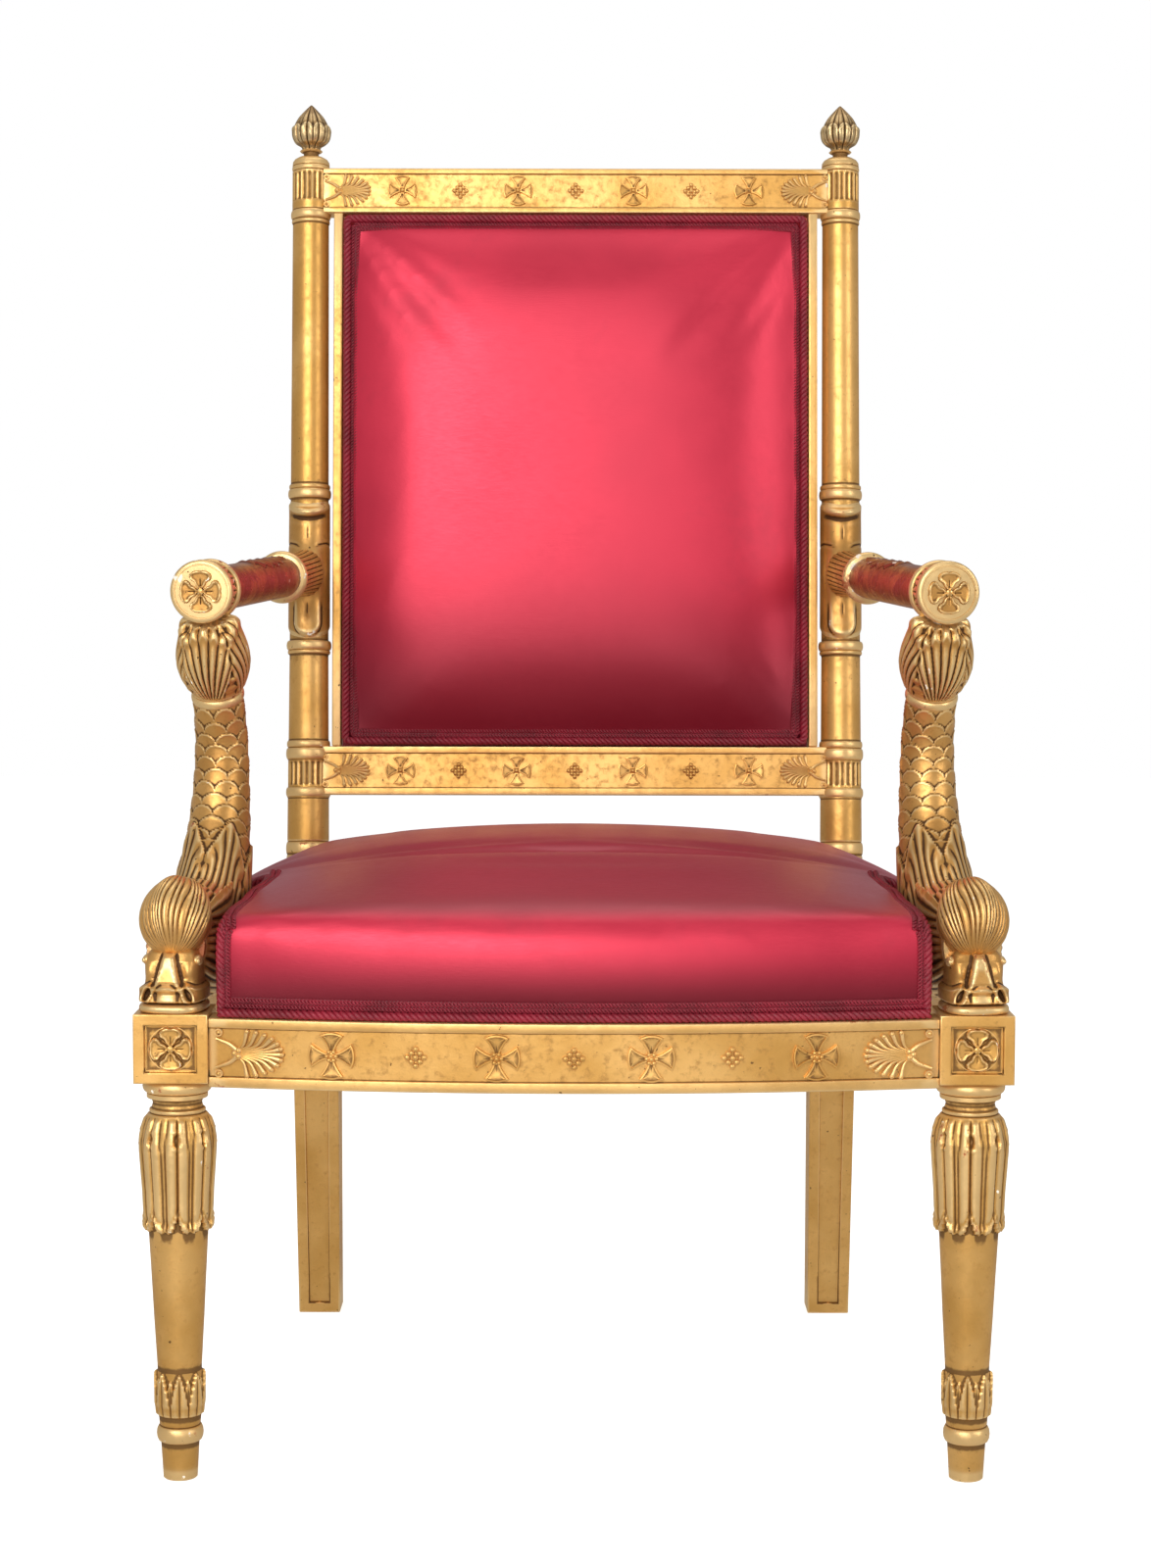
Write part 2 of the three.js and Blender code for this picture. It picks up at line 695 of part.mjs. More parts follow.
function armrest() {
  const rim = arm.drum;
  const drum = turned(
    [
      [0, rim - 1.4],
      [3, rim],
      [11, rim],
      [13, rim - 2.4],
      [30, rim - 2.6],
      [32, rim - 0.5],
      [arm.drumLength, rim - 1.2],
      [arm.drumLength + 1.5, arm.bar],
    ],
    turnedSides,
  );
  const dish = turned([[-2, rim - 4.2], [arm.sunk, rim - 4.2]], turnedSides);
  const bar = turned([[arm.drumLength, arm.bar], [armLength - 30, arm.bar]], turnedSides);
  const rearRing = turned(
    [
      [arm.rearRingAt, arm.bar + 1.4],
      [arm.rearRingAt + 3, arm.rearRing],
      [arm.rearRingAt + 8, arm.rearRing],
      [arm.rearRingAt + 10, arm.bar + 1.6],
    ],
    turnedSides,
  );
  let body = solid(placeOnArm(drum)).subtract(solid(placeOnArm(dish)));
  for (const part of rosette(rosetteRadius, rosetteRelief)) {
    body = body.add(solid(placeOnArm(part.rotateY(Math.PI).translate(0, 0, arm.sunk + fitGap))));
  }
  body = body.add(solid(placeOnArm(bar))).add(solid(placeOnArm(rearRing)));

  // The bar flares up and down into the saddle's two leaves
  const reach = armLength - stileRadius(saddle.low) - 2;
  const flareSides = 8;
  const flare = [0, 0.35, 0.7, 1].map((share) => {
    const z = THREE.MathUtils.lerp(arm.rearRingAt + 6, reach, share);
    const tall = THREE.MathUtils.lerp(arm.bar + 1.5, 48, share ** 2.2);
    const wide = THREE.MathUtils.lerp(arm.bar + 1.5, stileRadius(saddle.low) - 1, share);
    return Array.from({ length: flareSides }, (_, s) => {
      const angle = (2 * Math.PI * s) / flareSides;
      return new THREE.Vector3(wide * Math.cos(angle), tall * Math.sin(angle), z);
    });
  });
  body = body.add(solid(placeOnArm(loft(flare))));

  const leafRadius = stileRadius(saddle.low) + 1.2;
  const leaves = turned(
    [
      [saddle.low, leafRadius - 5],
      [saddle.low + 4, leafRadius + 1.5],
      [saddle.low + 12, leafRadius + 1],
      [saddle.low + 22, leafRadius - 1.5],
      [saddle.high - 14, leafRadius - 1.5],
      [saddle.high - 4, leafRadius + 1.5],
      [saddle.high, leafRadius - 5],
    ],
    turnedSides,
  );
  leaves.translate(0, -7, 0).rotateX(-recline).translate(...pivot.toArray());
  body = body.add(solid(leaves));
  const clear = stileSleeve(stileRadius(saddle.low) + fitGap, saddle.low - 20, saddle.high + 20, 16);
  const side = 3 * stile.foot;
  const behind = box(-side, side, 0, side, saddle.low - stile.foot, saddle.high + stile.foot);
  for (const cut of [clear, behind]) {
    body = body.subtract(solid(cut.rotateX(-recline).translate(...pivot.toArray())));
  }
  return body;
}

// Dolphin arm support: the head rests on the corner block, the scaled body rises behind it and its
// tail ends in a collar and a leaf cup under the arm. Own frame: +Y runs back along the arm line.

const dolphin = { foot: seatRailTop + fitGap, headFoot: block.top + fitGap, cupLeaves: 8 };
const cupTop = { y: armFront.u + arm.drumLength * 0.6, z: armFront.height - arm.drum * 0.84 };
const dolphinHeight = armFront.height - seatRailTop;
const cupBase = { y: cupTop.y * 1.241, z: seatRailTop + dolphinHeight * 0.756 };

// Places are shares of the cup's distance from the leg axis and of the dolphin's own height,
// and half widths are shares of the block's width
const bodySections = [
  [0.054, 0.195, 0.436, 0.083],
  [0.402, 0.188, 0.491, 0.108],
  [0.804, 0.204, 0.491, 0.115],
  [1.107, 0.287, 0.464, 0.099],
  [1.277, 0.399, 0.418, 0.08],
  [1.357, 0.517, 0.375, 0.069],
  [1.348, 0.628, 0.353, 0.062],
  [1.25, 0.743, 0.338, 0.059],
].map(([y, z, across, through]) => ({
  y: y * cupTop.y,
  z: seatRailTop + z * dolphinHeight,
  across: across * block.size,
  through: through * dolphinHeight,
}));

// A rounded form of the head, its middle and half sizes in shares of the block's width
function headForm(middle, half, across, up) {
  const form = new THREE.SphereGeometry(block.size, across, up).rotateX(Math.PI / 2).scale(...half);
  const [x, y, z] = middle.map((share) => share * block.size);
  return form.translate(x, y, z + block.top);
}

function headBox(half, front, back, low, high) {
  const [x, y0, y1, z0, z1] = [half, front, back, low, high].map((share) => share * block.size);
  return box(-x, x, y0, y1, dolphin.headFoot + z0, dolphin.headFoot + z1);
}

function alongCup(geometry) {
  const tilt = Math.atan2(cupBase.y - cupTop.y, cupTop.z - cupBase.z);
  return geometry.rotateX(tilt).translate(0, cupBase.y, cupBase.z);
}

function armSupport() {
  const cupHeight = Math.hypot(cupTop.y - cupBase.y, cupTop.z - cupBase.z);
  const cupProfile = [
    [-0.145, 0.755],
    [-0.13, 0.85],
    [-0.016, 0.85],
    [0, 0.796],
    [0.2, 1.08],
    [0.45, 1.18],
    [0.75, 1.06],
    [1.065, 0.735],
  ].map(([up, out]) => [cupHeight * up, arm.drum * out]);
  const cutCup = (radius, angle, height) =>
    height > 1 ? radius * (0.95 + 0.05 * Math.cos(dolphin.cupLeaves * angle)) : radius;
  const throat = new THREE.SphereGeometry(1, 8, 5).rotateX(Math.PI / 2);
  throat.scale(block.size * 0.455, cupTop.y * 0.75, block.size * 0.618);
  throat.translate(0, cupTop.y * 0.75, seatRailTop + block.size * 0.345);
  const parts = [
    sweptBody(bodySections, 10),
    headForm([0, 0.11, 1.236], [0.5, 0.58, 0.51], 10, 6), // ribbed crown
    headForm([0, 0.055, 0.58], [0.29, 0.473, 0.436], 8, 4), // bridge of the snout
    headForm([0.327, -0.073, 0.273], [0.155, 0.364, 0.164], 6, 4), // scrolled nostrils
    headForm([-0.327, -0.073, 0.273], [0.155, 0.364, 0.164], 6, 4),
    headBox(0.445, -0.436, 0.473, 0, 0.109), // lower lip
    headBox(0.4, -0.31, 0.473, 0.073, 0.612), // cheeks
    throat,
    headForm([0.4, 1.127, 0.8], [0.145, 0.58, 0.364], 5, 3), // side fins
    headForm([-0.4, 1.127, 0.8], [0.145, 0.58, 0.364], 5, 3),
  ];
  let body = joined(...parts);
  const blockEnd = block.size * 0.582;
  const reach = cupTop.y * 2;
  const bed = box(-block.size, block.size, blockEnd, reach, 0, dolphin.foot);
  const headBed = box(-block.size, block.size, -reach, blockEnd, 0, dolphin.headFoot);
  body = body.subtract(solid(bed)).subtract(solid(headBed));
  body = body.add(solid(alongCup(turned(cupProfile, dolphin.cupLeaves * 2, cutCup))));
  const placed = geometryOf(body).rotateZ(armLine).translate(blockHalfSpread, 0, 0);
  const room = (arm.drum + fitGap) / Math.cos(Math.PI / turnedSides);
  const clear = turned([[-4, room], [arm.drumLength + 30, room]], turnedSides);
  return solid(placed).subtract(solid(placeOnArm(clear)));
}

// The chair

const chair = new THREE.Group();
const back = new THREE.Group();
back.position.set(0, pivot.y, pivot.z);
back.rotation.x = -recline;
chair.add(back);

chair.add(...pair("front_leg", frontLeg(), gold));
chair.add(...pair("back_upright", rearUpright(), gold));
chair.add(piece("seat_rail_front", frontRail(), gold));
chair.add(...pair("seat_rail_side", sideRail(), gold));
chair.add(piece("seat_rail_rear", rearSeatRail(), gold));
chair.add(piece("seat_canvas", seatCanvas(), canvas));
chair.add(piece("seat_stuffing", seatStuffing(), satin));
chair.add(piece("seat_cord_front", seatCordFront(), trim));
chair.add(...pair("seat_cord_side", seatCordSide(), trim));
chair.add(...pair("arm", armrest(), bole));
chair.add(...pair("dolphin", armSupport(), darkGold));

back.add(piece("back_rail_top", backCrossRail(topRail, stile.topRing), gold));
back.add(piece("back_rail_bottom", backCrossRail(bottomRail, stile.ring), gold));
const strip = box(
  frameStrip.inner,
  frameStrip.outer,
  frameStrip.face,
  frameStrip.back,
  bottomRail.high + fitGap,
  topRail.low - fitGap,
);
back.add(...pair("back_frame", solid(strip), gold));
back.add(piece("back_stuffing", backStuffing(), satin));
const coverFront = backPad.back + fitGap;
const outerCover = box(-backPad.half, backPad.half, coverFront, frameStrip.back, backPad.low, backPad.high);
back.add(piece("back_cover", solid(outerCover), satin));
const cordFace = backPad.face - fitGap;
back.add(
  piece(
    "back_cord",
    ringLoop(backPad.half, backPad.low, backPad.high, 2 * cord.radius, cordFace - 2 * cord.radius, cordFace),
    trim,
  ),
);
const braidEdge = 2 * cord.radius + fitGap;
back.add(
  piece(
    "back_braid",
    ringLoop(
      backPad.half - braidEdge,
      backPad.low + braidEdge,
      backPad.high - braidEdge,
      braid.width - fitGap,
      cordFace - braid.thickness,
      cordFace,
    ),
    trim,
  ),
);

const bud = pair("finial", finialBud().translate(stileHalfSpread, 0, stile.neckTop + fitGap), darkGold);
back.add(...bud);

// Applied ornaments, each its own small casting glued to a rail's field

const ornament = { relief: 3, cross: 17.5, flower: 8.4, palmette: [54, 34.5] };
const backOrnament = { relief: 2.4, cross: 13.4, flower: 7.4, palmette: [43, 29] };

// Places along the front rail are shares of half its length, and on the back of the stiles' spread
const crossPlaces = {
  seat: [-0.659, -0.209, 0.209, 0.659].map((share) => share * bowChord),
  back: [-0.652, -0.2174, 0.2174, 0.652].map((share) => share * stileHalfSpread),
};
const flowerPlaces = {
  seat: [-0.4293, 0, 0.4293].map((share) => share * bowChord),
  back: [-0.4348, 0, 0.4348].map((share) => share * stileHalfSpread),
};

function ornamentPiece(name, outline, relief) {
  return piece(name, solid(prism(outline, 0, relief).rotateX(Math.PI / 2)), gold);
}

function backRailOrnaments(label, { low, high }, endRadius) {
  const z = (low + high) / 2;
  const y = backRail.face + backRail.sunk - fitGap;
  const { relief, cross, flower, palmette } = backOrnament;
  crossPlaces.back.forEach((x, i) => {
    const mesh = ornamentPiece(`${label}_cross_${i + 1}`, crossOutline(cross), relief);
    mesh.position.set(x, y, z);
    back.add(mesh);
  });
  flowerPlaces.back.forEach((x, i) => {
    const mesh = ornamentPiece(`${label}_flower_${i + 1}`, flowerOutline(flower), relief);
    mesh.position.set(x, y, z);
    back.add(mesh);
  });
  const end = stileHalfSpread - Math.sqrt((endRadius + 3 * fitGap) ** 2 - backRail.face ** 2) - 2;
  const outline = palmetteOutline(...palmette);
  const [right, left] = pair(
    `${label}_palmette`,
    solid(prism(outline.map(([x, up]) => [-x, up]), 0, relief).rotateX(Math.PI / 2).translate(end, y, z)),
    gold,
  );
  back.add(right, left);
}

backRailOrnaments("top", topRail, stile.topRing);
backRailOrnaments("low", bottomRail, stile.ring);

// On the bowed rail each ornament is turned to lie along the curve
function onFrontRail(mesh, x) {
  mesh.position.set(x, bowedY(x, seatRail.sunk - fitGap), (seatRailBottom + seatRailTop) / 2);
  mesh.rotation.z = Math.asin(x / bowRadius);
  return mesh;
}

crossPlaces.seat.forEach((x, i) => {
  const mesh = ornamentPiece(`seat_cross_${i + 1}`, crossOutline(ornament.cross), ornament.relief);
  chair.add(onFrontRail(mesh, x));
});
flowerPlaces.seat.forEach((x, i) => {
  const mesh = ornamentPiece(`seat_flower_${i + 1}`, flowerOutline(ornament.flower), ornament.relief);
  chair.add(onFrontRail(mesh, x));
});
const [seatPalmetteLength] = ornament.palmette;
for (const side of [1, -1]) {
  const fan = palmetteOutline(...ornament.palmette);
  const outline = fan.map(([x, up]) => [side * (seatPalmetteLength / 2 - x), up]);
  const mesh = ornamentPiece(`seat_palmette_${side > 0 ? "right" : "left"}`, outline, ornament.relief);
  chair.add(onFrontRail(mesh, side * (bowChord - 2.5 - seatPalmetteLength / 2)));
}

// Centre the chair over the origin, standing on it
const throne = new THREE.Group();
throne.add(chair);
const extent = new THREE.Box3().setFromObject(chair);
const centre = extent.getCenter(new THREE.Vector3());
chair.position.set(-centre.x, -centre.y, -extent.min.z);
throne.updateMatrixWorld(true);

export default throne;
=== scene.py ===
import json
import math

import bpy
import numpy as np
from mathutils import Matrix, Vector

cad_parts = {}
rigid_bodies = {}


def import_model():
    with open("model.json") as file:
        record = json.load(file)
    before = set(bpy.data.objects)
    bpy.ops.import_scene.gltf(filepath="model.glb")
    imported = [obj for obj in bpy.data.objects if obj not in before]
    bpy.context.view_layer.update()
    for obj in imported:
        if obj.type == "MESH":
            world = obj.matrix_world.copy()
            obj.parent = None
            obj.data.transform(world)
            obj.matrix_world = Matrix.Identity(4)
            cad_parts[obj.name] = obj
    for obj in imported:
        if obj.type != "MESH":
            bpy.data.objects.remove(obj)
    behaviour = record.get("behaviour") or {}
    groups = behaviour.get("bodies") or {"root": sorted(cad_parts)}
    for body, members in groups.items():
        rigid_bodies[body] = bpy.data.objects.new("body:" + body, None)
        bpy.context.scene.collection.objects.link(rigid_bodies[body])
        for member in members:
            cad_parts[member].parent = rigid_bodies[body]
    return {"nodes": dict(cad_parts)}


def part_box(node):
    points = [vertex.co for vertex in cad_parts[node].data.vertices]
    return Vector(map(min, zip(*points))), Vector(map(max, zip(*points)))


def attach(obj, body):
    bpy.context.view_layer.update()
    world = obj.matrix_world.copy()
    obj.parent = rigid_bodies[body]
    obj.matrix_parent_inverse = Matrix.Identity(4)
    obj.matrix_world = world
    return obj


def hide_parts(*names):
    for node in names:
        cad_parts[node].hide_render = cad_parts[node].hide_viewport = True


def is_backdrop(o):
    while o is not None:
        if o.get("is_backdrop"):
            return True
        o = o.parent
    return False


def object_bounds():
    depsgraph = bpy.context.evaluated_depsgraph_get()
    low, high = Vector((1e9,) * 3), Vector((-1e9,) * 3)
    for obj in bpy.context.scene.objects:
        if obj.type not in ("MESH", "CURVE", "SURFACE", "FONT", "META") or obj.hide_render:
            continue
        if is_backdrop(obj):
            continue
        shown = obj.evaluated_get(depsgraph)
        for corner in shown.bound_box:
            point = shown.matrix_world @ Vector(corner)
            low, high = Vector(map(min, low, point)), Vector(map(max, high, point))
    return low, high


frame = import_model()
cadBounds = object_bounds()
print("frame loaded:", len(frame["nodes"]), "nodes")

# The chair is drawn in millimetres from a point on the floor between the front legs
mm = 0.001
legLow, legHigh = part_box("front_leg_right")
frontLegY = (legLow[1] + legHigh[1]) / 2
chair = {
    "blockX": 298, "blockSize": 55, "legX": 296.6, "stileX": 241.5, "stileY": 470, "pivotZ": 350,
    "railLow": 302, "railTop": 353, "recline": 6,
}
chairSpace = Matrix.Translation((0, frontLegY, 0)) @ Matrix.Scale(mm, 4)
recline = Matrix.Rotation(math.radians(-chair["recline"]), 4, "X")
backSpace = chairSpace @ Matrix.Translation((0, chair["stileY"], chair["pivotZ"])) @ recline
mirrorX = Matrix.Scale(-1, 4, (1, 0, 0))


# Meshes from rings of points

def onto(space, points):
    m = np.array(space)
    return np.asarray(points, float) @ m[:3, :3].T + m[:3, 3]


def meshPiece(name, points, faces):
    mesh = bpy.data.meshes.new(name)
    mesh.from_pydata(points.tolist(), [], faces)
    piece = bpy.data.objects.new(name, mesh)
    bpy.context.collection.objects.link(piece)
    return piece


# A closed skin over rings, with a centre point at each end
def shell(name, rings, space):
    rings = np.asarray(rings, float)
    rows, sides = rings.shape[:2]
    points = np.vstack([rings.reshape(-1, 3), rings[0].mean(0), rings[-1].mean(0)])
    points = onto(space, points)
    row = np.arange(rows - 1)[:, None] * sides
    side = np.arange(sides)[None, :]
    after = (side + 1) % sides
    quads = np.stack([row + side, row + after, row + sides + after, row + sides + side], -1).reshape(-1, 4)
    top = (rows - 1) * sides
    side, after = side[0], after[0]
    first = np.stack([np.full(sides, rows * sides), after, side], -1)
    last = np.stack([np.full(sides, rows * sides + 1), top + side, top + after], -1)
    corners = np.vstack([quads[:, :3], quads[:, [0, 2, 3]], first, last])
    a, b, c = (points[corners[:, i]] - points.mean(0) for i in range(3))
    faces = quads.tolist() + first.tolist() + last.tolist()
    if np.einsum("ij,ij->i", a, np.cross(b, c)).sum() < 0:
        faces = [face[::-1] for face in faces]
    return meshPiece(name, points, faces)


def smoothStep(low, high, x):
    t = np.clip((x - low) / (high - low), 0, 1)
    return t * t * (3 - 2 * t)


def hump(x, middle, spread):
    return np.exp(-((x - middle) / spread) ** 2)


# -0.5 to 0.5 across each of a number of repeats round the circle
def aroundEach(angle, count, shift=0.0):
    return (angle * count / (2 * math.pi) + shift + 0.5) % 1 - 0.5


# Half-round moulding from one height to another
def bead(low, high, base, out, points=7):
    turns = np.linspace(-math.pi / 2, math.pi / 2, points)
    middle, half = (low + high) / 2, (high - low) / 2
    return [(middle + half * math.sin(t), base + out * math.cos(t)) for t in turns]


# Rows of (height, radius) no further apart than a step
def finely(profile, step):
    rows = []
    for (z0, r0), (z1, r1) in zip(profile, profile[1:]):
        count = max(1, math.ceil(math.hypot(z1 - z0, r1 - r0) / step))
        rows += [(z0 + (z1 - z0) * i / count, r0 + (r1 - r0) * i / count) for i in range(count)]
    return rows + [profile[-1]]


def turned(name, profile, sides, space, carve=None):
    rows = np.array(profile, float)
    angle = np.linspace(0, 2 * math.pi, sides, endpoint=False)[None, :]
    z = rows[:, 0:1] + 0 * angle
    r = rows[:, 1:2] + 0 * angle
    if carve:
        r = carve(angle + 0 * z, z, r)
    return shell(name, np.stack([r * np.cos(angle), r * np.sin(angle), z], -1), space)


# Sections stand square to a path of points; each section gives its two half widths
def alongPath(path, sideways=(1, 0, 0)):
    path = np.asarray(path, float)
    tangent = np.gradient(path, axis=0)
    tangent /= np.linalg.norm(tangent, axis=1)[:, None]
    across = np.asarray(sideways, float)[None, :] - tangent * (tangent @ np.asarray(sideways, float))[:, None]
    across /= np.linalg.norm(across, axis=1)[:, None]
    return path, tangent, across, np.cross(tangent, across)


def tube(name, path, radii, space, sides=8, flat=1.0, sideways=(0, 0, 1)):
    path, tangent, across, other = alongPath(path, sideways)
    radii = np.broadcast_to(np.asarray(radii, float), (len(path),))[:, None, None]
    angle = np.linspace(0, 2 * math.pi, sides, endpoint=False)[None, :, None]
    rings = path[:, None] + radii * (flat * np.cos(angle) * across[:, None] + np.sin(angle) * other[:, None])
    return shell(name, rings, space)


# A smooth curve through a few points
def curved(points, count):
    points = np.asarray(points, float)
    ends = np.vstack([2 * points[0] - points[1], points, 2 * points[-1] - points[-2]])
    place = np.linspace(0, len(points) - 1, count)
    i = np.minimum(place.astype(int), len(points) - 2)
    t = (place - i)[:, None]
    a, b, c, d = ends[i], ends[i + 1], ends[i + 2], ends[i + 3]
    return 0.5 * (2 * b + (c - a) * t + (2 * a - 5 * b + 4 * c - d) * t ** 2 + (3 * b - a - 3 * c + d) * t ** 3)


def ball(name, centre, sizes, space, across=16, up=10):
    tilt = np.linspace(-math.pi / 2 + 0.12, math.pi / 2 - 0.12, up)[:, None]
    angle = np.linspace(0, 2 * math.pi, across, endpoint=False)[None, :]
    unit = np.stack([np.cos(tilt) * np.cos(angle), np.cos(tilt) * np.sin(angle), np.sin(tilt) + 0 * angle], -1)
    return shell(name, unit * np.asarray(sizes, float) + np.asarray(centre, float), space)


# Work by hand on objects

def pick(*pieces):
    if bpy.context.object and bpy.context.object.mode != "OBJECT":
        bpy.ops.object.mode_set(mode="OBJECT")
    bpy.ops.object.select_all(action="DESELECT")
    for piece in pieces:
        piece.select_set(True)
    bpy.context.view_layer.objects.active = pieces[0]


def joined(name, pieces):
    pick(*pieces)
    if len(pieces) > 1:
        bpy.ops.object.join()
    piece = bpy.context.object
    piece.name = piece.data.name = name
    return piece


def settled(name):
    piece = bpy.context.object
    bpy.ops.object.transform_apply(location=True, rotation=True, scale=True)
    piece.name = piece.data.name = name
    return piece


def applied(piece, kind, **settings):
    modifier = piece.modifiers.new(kind.lower(), kind)
    for key, value in settings.items():
        setattr(modifier, key, value)
    pick(piece)
    bpy.ops.object.modifier_apply(modifier=modifier.name)
    return piece


def bevelled(piece, width, segments=2):
    return applied(piece, "BEVEL", width=width * mm, segments=segments, limit_method="ANGLE", angle_limit=0.6)


def chooseFaces(piece, wanted):
    pick(piece)
    mesh = piece.data
    mesh.vertices.foreach_set("select", [False] * len(mesh.vertices))
    mesh.edges.foreach_set("select", [False] * len(mesh.edges))
    mesh.polygons.foreach_set("select", [bool(wanted(face)) for face in mesh.polygons])
    bpy.ops.object.mode_set(mode="EDIT")
    bpy.ops.mesh.select_mode(type="FACE")


# A box between two corners in millimetres, at its place in the chair
def addBox(name, low, high, space):
    bpy.ops.object.select_all(action="DESELECT")
    bpy.ops.mesh.primitive_cube_add(size=1)
    piece = bpy.context.object
    low, high = Vector(low), Vector(high)
    piece.matrix_world = space @ Matrix.Translation((low + high) / 2) @ Matrix.Diagonal((*(high - low), 1))
    return settled(name)


def mirroredCopy(piece, name):
    mesh = piece.data.copy()
    points = np.empty(len(mesh.vertices) * 3)
    mesh.vertices.foreach_get("co", points)
    points[0::3] *= -1
    mesh.vertices.foreach_set("co", points)
    mesh.flip_normals()
    mesh.update()
    copy = bpy.data.objects.new(name, mesh)
    mesh.name = name
    bpy.context.collection.objects.link(copy)
    return copy


# How far each point lies in a hollow (towards 1) or on an edge (towards 0), for the wear
def markHollows(piece, reach=8, depth=0.45):
    mesh = piece.data
    count = len(mesh.vertices)
    points = np.empty(count * 3)
    mesh.vertices.foreach_get("co", points)
    points = points.reshape(-1, 3)
    normals = np.empty(count * 3)
    mesh.vertex_normals.foreach_get("vector", normals)
    normals = normals.reshape(-1, 3)
    ends = np.empty(len(mesh.edges) * 2, int)
    mesh.edges.foreach_get("vertices", ends)
    a, b = ends[0::2], ends[1::2]
    share = np.maximum(np.bincount(ends, minlength=count), 1)[:, None]
    eased = points.copy()
    for _ in range(reach):
        near = np.stack([
            np.bincount(a, eased[b, i], count) + np.bincount(b, eased[a, i], count) for i in range(3)
        ], -1)
        eased = (eased + near / share) / 2
    sunk = ((eased - points) * normals).sum(1) / (depth * mm)
    layer = mesh.attributes.new("hollow", "FLOAT", "POINT")
    layer.data.foreach_set("value", np.clip(0.5 + 0.5 * sunk, 0, 1))
    return piece


def dress(piece, material, nodes=(), angle=38):
    piece.data.materials.clear()
    piece.data.materials.append(material)
    pick(piece)
    bpy.ops.object.shade_smooth_by_angle(angle=math.radians(angle))
    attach(piece, "root")
    if nodes:
        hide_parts(*nodes)
    return piece


# Finishes

def nodeTools(material):
    material.use_nodes = True
    tree = material.node_tree

    def add(kind, inputs=None, **settings):
        node = tree.nodes.new(kind)
        for key, value in settings.items():
            setattr(node, key, value)
        for key, value in (inputs or {}).items():
            socket = node.inputs[key]
            if isinstance(value, bpy.types.NodeSocket):
                tree.links.new(value, socket)
            else:
                socket.default_value = value
        return node

    return tree, add


def blendColour(add, factor, first, second):
    mix = add("ShaderNodeMix", data_type="RGBA")
    tree = mix.id_data
    for socket, value in zip([mix.inputs[0], mix.inputs[6], mix.inputs[7]], [factor, first, second]):
        if isinstance(value, bpy.types.NodeSocket):
            tree.links.new(value, socket)
        else:
            socket.default_value = value if isinstance(value, float) else (*value, 1)
    return mix.outputs[2]


def ramp(add, value, low, high, outLow=0.0, outHigh=1.0):
    inputs = {"Value": value, "From Min": low, "From Max": high, "To Min": outLow, "To Max": outHigh}
    return add("ShaderNodeMapRange", inputs, interpolation_type="SMOOTHSTEP").outputs[0]


def calc(add, operation, first, second):
    return add("ShaderNodeMath", {0: first, 1: second}, operation=operation).outputs[0]


def noise(add, place, scale, detail=4.0, rough=0.55, stretch=None):
    if stretch:
        place = add("ShaderNodeMapping", {"Vector": place, "Scale": stretch}).outputs[0]
    return add("ShaderNodeTexNoise", {"Vector": place, "Scale": scale, "Detail": detail, "Roughness": rough}).outputs[0]


def gildedFinish(name, look):
    material = bpy.data.materials.new(name)
    tree, add = nodeTools(material)
    shader = tree.nodes["Principled BSDF"]
    place = add("ShaderNodeTexCoord").outputs["Object"]
    hollow = add("ShaderNodeAttribute", attribute_name="hollow").outputs["Fac"]
    broad = noise(add, place, 14.0, 3.0)
    fine = noise(add, place, 160.0, 5.0, 0.65)
    grain = noise(add, place, 620.0, 3.0, 0.6)
    leaf = blendColour(add, ramp(add, broad, 0.36, 0.66), look["deep"], look["bright"])
    leaf = blendColour(add, ramp(add, fine, 0.5, 0.8, 0.0, look["mottle"]), leaf, look["dull"])
    dirt = calc(add, "ADD", hollow, calc(add, "MULTIPLY", calc(add, "SUBTRACT", fine, 0.5), 0.35))
    leaf = blendColour(add, ramp(add, dirt, 0.52, 0.74, 0.0, look["dirt"]), leaf, look["patina"])
    edge = calc(add, "SUBTRACT", 0.5, hollow)
    leaf = blendColour(add, ramp(add, edge, 0.08, 0.4, 0.0, look["polish"]), leaf, look["light"])
    # leaf rubbed through to the red ground
    rub = calc(add, "ADD", noise(add, place, 38.0, 6.0, 0.7), calc(add, "MULTIPLY", edge, 0.35))
    ground = ramp(add, rub, look["rubFrom"], look["rubFrom"] + 0.06)
    colour = blendColour(add, ground, leaf, look["ground"])
    # small chips down to the white ground
    chip = calc(add, "ADD", noise(add, place, 75.0, 4.0, 0.6), calc(add, "MULTIPLY", edge, 0.3))
    chip = ramp(add, chip, look["chipFrom"], look["chipFrom"] + 0.015)
    colour = blendColour(add, chip, colour, (0.78, 0.7, 0.58))
    specks = ramp(add, noise(add, place, 210.0, 2.0, 0.5), 0.735, 0.76)
    colour = blendColour(add, specks, colour, look["patina"])
    tree.links.new(colour, shader.inputs["Base Color"])
    wearAndPaintedReflection = calc(add, "MAXIMUM", chip, calc(add, "MULTIPLY", ground, 0.6))
    metal = calc(add, "MULTIPLY", calc(add, "SUBTRACT", 1.0, wearAndPaintedReflection), look["metal"])
    tree.links.new(metal, shader.inputs["Metallic"])
    rough = calc(add, "ADD", ramp(add, fine, 0.3, 0.75, look["rough"] - 0.07, look["rough"] + 0.1),
                 calc(add, "MULTIPLY", ramp(add, dirt, 0.5, 0.8), 0.2))
    tree.links.new(rough, shader.inputs["Roughness"])
    relief = calc(add, "ADD", calc(add, "MULTIPLY", grain, 0.35), fine)
    relief = calc(add, "SUBTRACT", relief, calc(add, "MULTIPLY", chip, 1.5))
    bump = add("ShaderNodeBump", {"Height": relief, "Strength": 0.28, "Distance": 0.0006})
    tree.links.new(bump.outputs[0], shader.inputs["Normal"])
    return material


